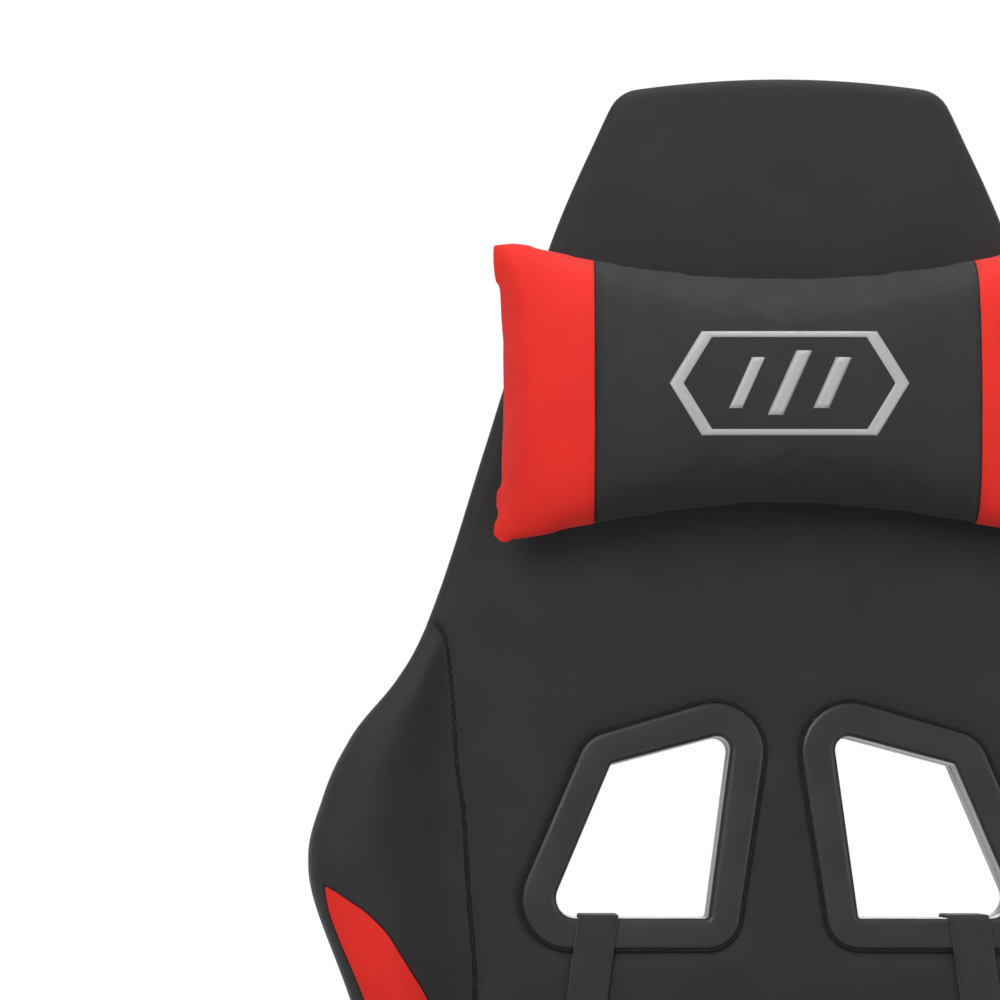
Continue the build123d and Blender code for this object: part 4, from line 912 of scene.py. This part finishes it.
PILLOW_W = 619.5  # middle of the head pillow, up the back
# Each cushion: its middle up the back, its half widths at the ends and the waist, its half
# heights there, how far forward its seam is, its bulge forward and back of the seam; then the
# furthest back it reaches, how far across its upright seams are and their half height.
PILLOW = (PILLOW_W, 178, 171, 93, 71.5, 66, 40, 28), 32.9, 113.5, 92
LUMBAR = (145, 166, 160, 89, 81, 68, 38, 26), 35.4, 116, 96
VOXEL, PRESSURE, CAP = 4.5, 4.0, 11


def stuffed_cushion(name, middle, half_end, half_waist, high_end, high_waist, seam_v, bulge, rear):
    """A waisted cushion: two faces that meet in one seam all round, then stuffed.

    half_end and high_end are at its corners, half_waist and high_waist at mid-side; bulge and
    rear say how far its faces stand forward and back from the seam."""
    t = np.linspace(-1, 1, 64)
    s = np.linspace(-1, 1, 34)
    bottom = np.stack([t * half_end, middle - high_waist - (high_end - high_waist) * t**2], 1)
    top = np.stack([t * half_end, middle + high_waist + (high_end - high_waist) * t**2], 1)
    right = np.stack([half_waist + (half_end - half_waist) * s**2, middle + s * high_end], 1)
    left = right * np.array([-1, 1])
    ring = np.vstack([bottom[:-1], right[:-1], top[:0:-1], left[:0:-1]])
    ring = smooth_loop(ring, 4)  # blunts the four corners
    ends = np.cumsum([0, len(t) - 1, len(s) - 1, len(t) - 1])
    bottom, right = ring[:ends[1] + 1], ring[ends[1]:ends[2] + 1]
    top, left = ring[ends[2]:ends[3] + 1][::-1], np.vstack([ring[ends[3]:], ring[:1]])[::-1]

    def dome(points):
        x = np.clip(np.abs(points[:, 0]) / half_waist, 0, 1)
        high = high_waist + (high_end - high_waist) * x**2
        y = np.clip(np.abs(points[:, 1] - middle) / high, 0, 1)
        return (1 - x**3.4) ** 0.62 * (1 - y**2.5) ** 0.6

    def front(points):
        return seam_v + 2 + bulge * dome(points)

    def back(points):
        return seam_v - 2 - rear * np.minimum(1, 1.6 * dome(points))

    return shell(name, (left, bottom, right, top), front, back,
                 lambda spots: np.full(len(spots), 2.0), from_back, bow=0)


SEAM_DEPTH, SEAM_SPREAD = 1.6, 2.6


def finish_cushion(cushion, seam, rear_limit):
    """Flattens a stuffed cushion against the back and draws in its two upright seams."""
    local = to_back(coordinates(cushion))
    u, v = local[:, 0], local[:, 2]
    low = v < rear_limit
    v[low] = rear_limit
    front = v > rear_limit + 6
    v[front] -= SEAM_DEPTH * np.exp(-(((np.abs(u[front]) - seam) / SEAM_SPREAD) ** 2))
    set_coordinates(cushion, from_back(local))
    mark(cushion, "red", (np.abs(u) - seam) * MM)
    paint(cushion, CLOTH_RED)


def upright_seams(cushion, name, seam, body, middle, reach):
    """The dark thread lines where a cushion's ends are sewn to its middle."""
    tree = tree_of(cushion)
    for side, label in ((1, "left"), (-1, "right")):
        line = [on_back(side * seam, middle + w, 0) for w in np.linspace(-reach, reach, 90)]
        path = drape(tree, line, -FORWARD, -0.15)
        thread_and_shadow_line(f"{name}_{label}", path, 0.55, body)


def make_cushion(label, settings, body):
    """A stuffed cushion with two upright seams, in place of its CAD solid."""
    shape, rear_limit, seam, seam_reach = settings
    cushion = stuffed_cushion(f"{label}_cover", *shape)
    simulate(cushion, VOXEL, PRESSURE, CAP)
    finish_cushion(cushion, seam, rear_limit)
    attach(cushion, body)
    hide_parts(label)
    upright_seams(cushion, label.split("_")[1 if body == "headrest" else 0] + "_seam", seam, body,
                  shape[0], seam_reach)
    return cushion


BADGE_POINT, BADGE_X, BADGE_W, BADGE_BAND = 71, 52, 31, 4.2
BADGE_BARS = ((-25, 15), (0, 19), (25, 15))  # each bar's place across and half height
BAR_WIDTH, BAR_LEAN = 9, 0.45
STITCH_T = 0.9


def make_emblem(pillow):
    """A plain embroidered badge: a long hexagon ring round three slanted bars."""
    tree = tree_of(pillow)

    def stitched(name, quads):
        """Flat strips of (u, w) quads, raised off the pillow's face."""
        vertices, faces = [], []
        for a, b, c, d in quads:
            across, along = 5, max(3, ceil(np.linalg.norm(np.subtract(b, a)) / 3))
            base = len(vertices)
            for i in range(along + 1):
                p = np.add(a, np.subtract(b, a) * i / along)
                q = np.add(d, np.subtract(c, d) * i / along)
                for j in range(across + 1):
                    u, w = p + (q - p) * j / across
                    crown = sin(pi * j / across) ** 0.5 if 0 < j < across else 0
                    hit = tree.ray_cast(on_back(u, w + PILLOW_W, 200), -FORWARD, 1)[0]
                    vertices.append(hit + FORWARD * (crown * STITCH_T - 0.25) * MM)
            for i in range(along):
                for j in range(across):
                    k = base + i * (across + 1) + j
                    faces.append((k, k + 1, k + across + 2, k + across + 1))
        piece = mesh_object(name, vertices, faces)
        solid = piece.modifiers.new("solid", "SOLIDIFY")
        solid.thickness = 0.4 * MM
        solid.offset = -1
        apply_modifiers(piece)
        paint(piece, SILVER)
        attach(piece, "headrest")

    ring = [(-BADGE_POINT, 0), (-BADGE_X, -BADGE_W), (BADGE_X, -BADGE_W), (BADGE_POINT, 0),
            (BADGE_X, BADGE_W), (-BADGE_X, BADGE_W)]
    shrink = 1 - BADGE_BAND / BADGE_W
    stitched("badge_ring", [(a, b, np.multiply(b, shrink), np.multiply(a, shrink))
                            for a, b in zip(ring, ring[1:] + ring[:1])])
    bars = []
    for x, high in BADGE_BARS:
        near, far, lean = x - BAR_WIDTH / 2, x + BAR_WIDTH / 2, high * BAR_LEAN
        bars.append(((near - lean, -high), (near + lean, high), (far + lean, high), (far - lean, -high)))
    stitched("badge_bars", bars)


make_emblem(make_cushion("head_pillow", PILLOW, "headrest"))
make_cushion("lumbar_cushion", LUMBAR, "lumbar")


# ======== straps
def ribbon(name, low, high, thickness, material, body, strap_width):
    """A closed flat strap between two matching loops of points in metres, its two edges.
    Its UVs run across it in x and along it in y, in strap widths."""
    low, high = np.asarray(low, float), np.asarray(high, float)
    n = len(low)
    inset = thickness / (2 * strap_width)
    lanes = np.linspace(inset, 1 - inset, 6)
    section = ([(t, 1.0) for t in lanes] + [(1.0, 0.0)]
               + [(t, -1.0) for t in lanes[::-1]] + [(0.0, 0.0)])
    m = len(section)
    middle = (low + high) / 2
    along = np.roll(middle, -1, 0) - np.roll(middle, 1, 0)
    normal = np.cross(along, high - low)
    normal /= np.linalg.norm(normal, axis=1)[:, None]
    vertices = [low[k] + (high[k] - low[k]) * t + normal[k] * h * thickness / 2 * MM
                for k in range(n) for t, h in section]
    faces = [(k * m + i, k * m + (i + 1) % m, (k + 1) % n * m + (i + 1) % m, (k + 1) % n * m + i)
             for k in range(n) for i in range(m)]
    mesh = bpy.data.meshes.new(name)
    mesh.from_pydata([tuple(v) for v in vertices], [], faces)
    step = np.linalg.norm(np.roll(middle, -1, 0) - middle, axis=1)
    run = np.concatenate([[0], np.cumsum(step)]) / (strap_width * MM)
    layer = mesh.uv_layers.new(name="strap")
    for index, (k, i) in enumerate((k, i) for k in range(n) for i in range(m)):
        corners = ((i, k), ((i + 1) % m, k), ((i + 1) % m, k + 1), (i, k + 1))
        for corner, (spot, ring) in enumerate(corners):
            layer.data[4 * index + corner].uv = (section[spot][0], run[ring])
    piece = object_of(mesh, weld=False)
    paint(piece, material)
    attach(piece, body)
    return piece


HEAD_STRAP = (632.5, 682.5)  # its lower and upper edges, up the back
HEAD_STRAP_V = (-34, 32.2)
HEAD_STRAP_CORNER = 12
STRAP_T = 1.5


def make_head_strap():
    """The wide elastic round the back's head, which the pillow hangs on."""
    edges = []
    for w in HEAD_STRAP:
        half = half_width(w) + 1.4
        rear, front = HEAD_STRAP_V
        corners = ((half, rear), (half, front), (-half, front), (-half, rear))
        line = evenly(with_sides(corners, (HEAD_STRAP_CORNER,) * 4, 9, 24), 220, closed=True)
        edges.append([on_back(u, w, v) for u, v in line])
    strap = ribbon("head_elastic", *edges, STRAP_T, ELASTIC, "headrest", 50)
    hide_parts("head_strap")


STRAP_TOP, STRAP_V, STRAP_FOOT_R, STRAP_BEND = 307.2, 34.5, 33.9, 3.1
STRAP_U, STRAP_REACH = 111, 12.1  # middle of the strap at its top, and half its width
STRAP_LEAN, STRAP_LEAN_END = 0.137, 180  # outward for each unit down, as far as this height


def make_lumbar_strap(label, side):
    """Webbing through a slot and round the back's foot, leaning out as it goes down."""
    bend_v, bend_w = STRAP_V - STRAP_BEND, STRAP_TOP - STRAP_BEND
    profile = np.vstack([
        arc((0, 0), STRAP_FOOT_R, -180, 0, 26)[:, ::-1],
        [(STRAP_V, w) for w in np.linspace(30, 300, 56)],
        arc((bend_v, bend_w), STRAP_BEND, 0, 90, 6),
        [(v, STRAP_TOP) for v in np.linspace(27, -27, 12)],
        arc((-bend_v, bend_w), STRAP_BEND, 90, 180, 6),
        [(-STRAP_V, w) for w in np.linspace(300, 30, 56)],
    ])
    edges = []
    for reach in (-STRAP_REACH, STRAP_REACH):
        edge = []
        for v, w in profile:
            lean = STRAP_LEAN * (STRAP_TOP - max(w, STRAP_LEAN_END))
            edge.append(on_back(side * (STRAP_U + lean + reach), w, v))
        edges.append(edge)
    strap = ribbon(f"lumbar_webbing_{label}", *edges, STRAP_T, WEBBING, "back", 24)
    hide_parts("lumbar_straps")


make_head_strap()
for label, side in (("left", 1), ("right", -1)):
    make_lumbar_strap(label, side)


# ======== seat
SEAT_TOP, BOLSTER_TOP, SKIRT = 440, 484, 346
SEAT_OUTLINE = ((226, -285), (257, -110), (257, 60), (226, 125), (226, 205))
SEAT_CORNERS = (60, 140, 90, 20, 14)
SEAT_EDGES = ((-285, 34), (-200, 27), (-60, 24), (120, 20), (205, 14))  # y, then the edge's reach
SEAT_RISE = ((-285, 4), (-235, 16), (-170, 31), (-80, 39), (60, 40), (140, 35), (205, 31))
SEAT_SEAM = ((203, -268), (196, -190), (181, -90), (178, 20), (176, 110), (182, 190))
# Down the seat's wall: share of its edge's reach, then height.
SEAT_WALL = ((1.0, 440), (1.03, 425), (1.06, 405), (1.04, 380), (0.98, 360), (0.9, 350),
             (0.72, 346.6), (0.4, 346.0))
NOSE_SEAM_Y = -178
SEAT_RED = (-150, 118)  # where the red inserts start and end, along Y
PIPING_Z, PIPING_R = 412, 2.0


def seat_half():
    """The +X half of the seat's plan, from the middle of its front to the middle of its rear."""
    (_, front), (half_rear, rear) = SEAT_OUTLINE[0], SEAT_OUTLINE[-1]
    corners = ((-half_rear, front),) + SEAT_OUTLINE + ((-half_rear, rear),)
    whole = with_sides(corners, (1,) + SEAT_CORNERS + (1,), 12, 26)
    kept = [p for p in whole if p[0] > 1]
    first = min(range(len(kept)), key=lambda k: (kept[k][1] > front + 1, kept[k][0]))
    return np.array([(0, front)] + kept[first:] + kept[:first] + [(0, rear)])


seat_line = seat_half()
seat_seam = through(SEAT_SEAM, 12)
seat_side = seat_line[(seat_line[:, 0] > 150)]


def seat_half_width(y):
    order = np.argsort(seat_side[:, 1])
    return np.interp(y, seat_side[order, 1], seat_side[order, 0])


def seat_seam_at(y):
    return np.interp(y, seat_seam[:, 1], seat_seam[:, 0])


def seat_top(points):
    """The height of the seat's upper face."""
    x, y = np.abs(points[:, 0]), points[:, 1]
    edge, seam = seat_half_width(y), seat_seam_at(y)
    share = np.clip((x - seam) / np.maximum(edge - seam, 10), 0, 1.2)
    bolster = ease(share / 0.5) * (1 - 0.22 * ease((share - 0.55) / 0.6))
    crown = 7 * (1 - np.clip(x / seam, 0, 1) ** 2.4) * ease((y + 290) / 90) * ease((210 - y) / 70)
    fall = 26 * ease((-205 - y) / 85) ** 1.4
    tuck = 4 * ease((y - 170) / 35)
    to_seam = distance_to(seat_seam, np.stack([x, y], 1))
    groove = 2.6 * np.exp(-((to_seam / 3.4) ** 2))
    across = 2.4 * np.exp(-(((y - NOSE_SEAM_Y) / 3.4) ** 2)) * ease((seam - x) / 8)
    ripple, fine = ripples(points, 0.012, 0.012, 5.2), ripples(points, 0.045, 0.045, 1.3)
    height = SEAT_TOP - 4 + crown - fall - tuck - groove - across + 1.3 * ripple + 0.25 * fine
    return np.minimum(height + np.interp(y, *zip(*SEAT_RISE)) * bolster, BOLSTER_TOP + 3)


def seat_underside(points):
    rim = (np.abs(points[:, 0]) > 210) | (points[:, 1] < -242)
    return np.where(rim, SKIRT, 365.0)


def make_seat_cushion():
    """The bucket seat: a soft centre, raised bolsters with red inserts, and a deep skirt."""
    rounds = np.interp(seat_line[:, 1], *zip(*SEAT_EDGES))
    inner = seat_line - outward(seat_line) * rounds[:, None]
    inner[0, 0] = inner[-1, 0] = 0
    front_corner = int(np.argmax(seat_line @ np.array([1.0, -1.0])))
    rear_corner = int(np.argmax(seat_line.sum(axis=1) * (seat_line[:, 1] > 150)))
    flip = np.array([-1, 1])
    rows, half_columns = 141, 68
    right = evenly(inner[front_corner:rear_corner + 1], rows)
    front = evenly(inner[:front_corner + 1], half_columns + 1)
    front = np.vstack([(front * flip)[::-1], front[1:]])
    rear = evenly(inner[rear_corner:], half_columns + 1)[::-1]
    rear = np.vstack([(rear * flip)[::-1], rear[1:]])
    def reach(spots):
        return np.interp(spots[:, 1], *zip(*SEAT_EDGES))

    seat = shell("seat_cover", (right * flip, front, right, rear), seat_top, seat_underside, reach,
                 lambda local: local * MM, steps=SEAT_WALL)
    local = coordinates(seat) / MM
    x, y, z = np.abs(local[:, 0]), local[:, 1], local[:, 2]
    from_seam = x - seat_seam_at(y) - 16
    from_edge = seat_half_width(y) - 10 - x
    red = np.minimum(np.minimum(from_seam, from_edge), np.minimum(y - SEAT_RED[0], SEAT_RED[1] - y))
    mark(seat, "red", np.where(z > SEAT_TOP, red, -20) * MM)
    paint(seat, CLOTH_RED)
    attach(seat, "seat")
    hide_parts("seat_cushion")
    tree = tree_of(seat)
    lines = [("seat_nose_seam", [(x, NOSE_SEAM_Y) for x in np.linspace(-192, 192, 120)])]
    for label, side in (("left", 1), ("right", -1)):
        seam = [(side * x, y) for x, y in evenly(seat_seam, 150)]
        lines.append((f"seat_seam_{label}", seam))
    for name, line in lines:
        path = drape(tree, [Vector((x, y, 600)) * MM for x, y in line], (0, 0, -1), 0.1, 0.4)
        thread_and_shadow_line(name, path, 1.0, "seat")
    rim = evenly(np.vstack([seat_line, seat_line[::-1][1:-1] * flip]), 260, closed=True)
    path = [Vector((x * 1.004, y * 1.003, PIPING_Z)) * MM for x, y in rim]
    tube_along("seat_piping", path, PIPING_R, CLOTH, "seat", closed=True)


PAD_X, PAD_Y, PAD_HALF, PAD_CORNER = 300, 20, (42.5, 130), 34
# From the pad's foot to its top: distance in from its rim, then height.
PAD_PROFILE = ((2.5, 636), (0.4, 636.5), (0, 638), (0, 644.6), (0.7, 645.3), (0, 646), (0.1, 651),
               (1.2, 656), (3.6, 659.8), (7.5, 662.2), (13, 663.5), (20, 664.1), (28, 664.3))
PAD_DROOP, PAD_CROWN_Z = 5, 655  # how far the top falls towards the ends, above this height


def make_armrest_pad(label, side):
    """A soft moulded pad with a crowned top and a parting line round its rim."""
    rings = []
    for inset, z in PAD_PROFILE:
        x, y = PAD_HALF[0] - inset, PAD_HALF[1] - inset
        line = with_sides(((x, -y), (x, y), (-x, y), (-x, -y)), (PAD_CORNER - inset,) * 4, 10, 14)
        droop = PAD_DROOP * (np.abs(line[:, 1]) / PAD_HALF[1]) ** 3 * (z > PAD_CROWN_Z)
        rings.append([Vector((side * PAD_X + x, PAD_Y + y, z - fall)) * MM
                      for (x, y), fall in zip(line, droop)])
    pad = rings_object(f"armrest_pad_soft_{label}", rings)
    paint(pad, PAD_FOAM)
    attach(pad, f"armrest_{label}")
    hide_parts(f"armrest_pad_{label}")


make_seat_cushion()
for label, side in (("left", 1), ("right", -1)):
    make_armrest_pad(label, side)


# ======== the frame's own parts
def belted(name, colour):
    """Upholstery belt with a rib across it, for solids that have no UVs."""
    s = Shader(name, specular=0.2, sheen=0.1)
    rib = s.wave(420, "X")
    cross = s.wave(900, "Y", distortion=0.3)
    height = s.math("ADD", s.math("MULTIPLY", rib, 0.7), s.math("MULTIPLY", cross, 0.3))
    # Painted shade: the belt is coloured darker in the low places between its ribs.
    s.colour(s.mix(s.remap(height, 0.1, 0.9), shade(colour, 0.55), colour))
    s.rough(s.remap(s.noise(60, 3), 0.3, 0.7, 0.7, 0.85))
    return s.bump((height, 0.4, 0.6)).material


FINISHES = {
    "satin_plastic": SATIN,
    "black_nylon": NYLON,
    "pad_foam": PAD_FOAM,
    "wheel": TREAD,
    "bushing_plastic": ACETAL,
    "black_steel": COATED,
    "frame_steel": COATED,
    "chrome_rod": CHROME,
    "bright_steel": STEEL,
    "zinc": ZINC,
    "spring_steel": SPRING,
    "webbing": WEBBING,
    "elastic": ELASTIC,
    "belt": belted("seat_belt", linear(64, 64, 66)),
    "black_cloth": CLOTH,
    "red_cloth": CLOTH_RED,
}
for subpart in frame["record"]["subparts"]:
    for paint_slot in frame["nodes"][subpart["node"]].material_slots:
        paint_slot.material = FINISHES[subpart["material_slot"]]
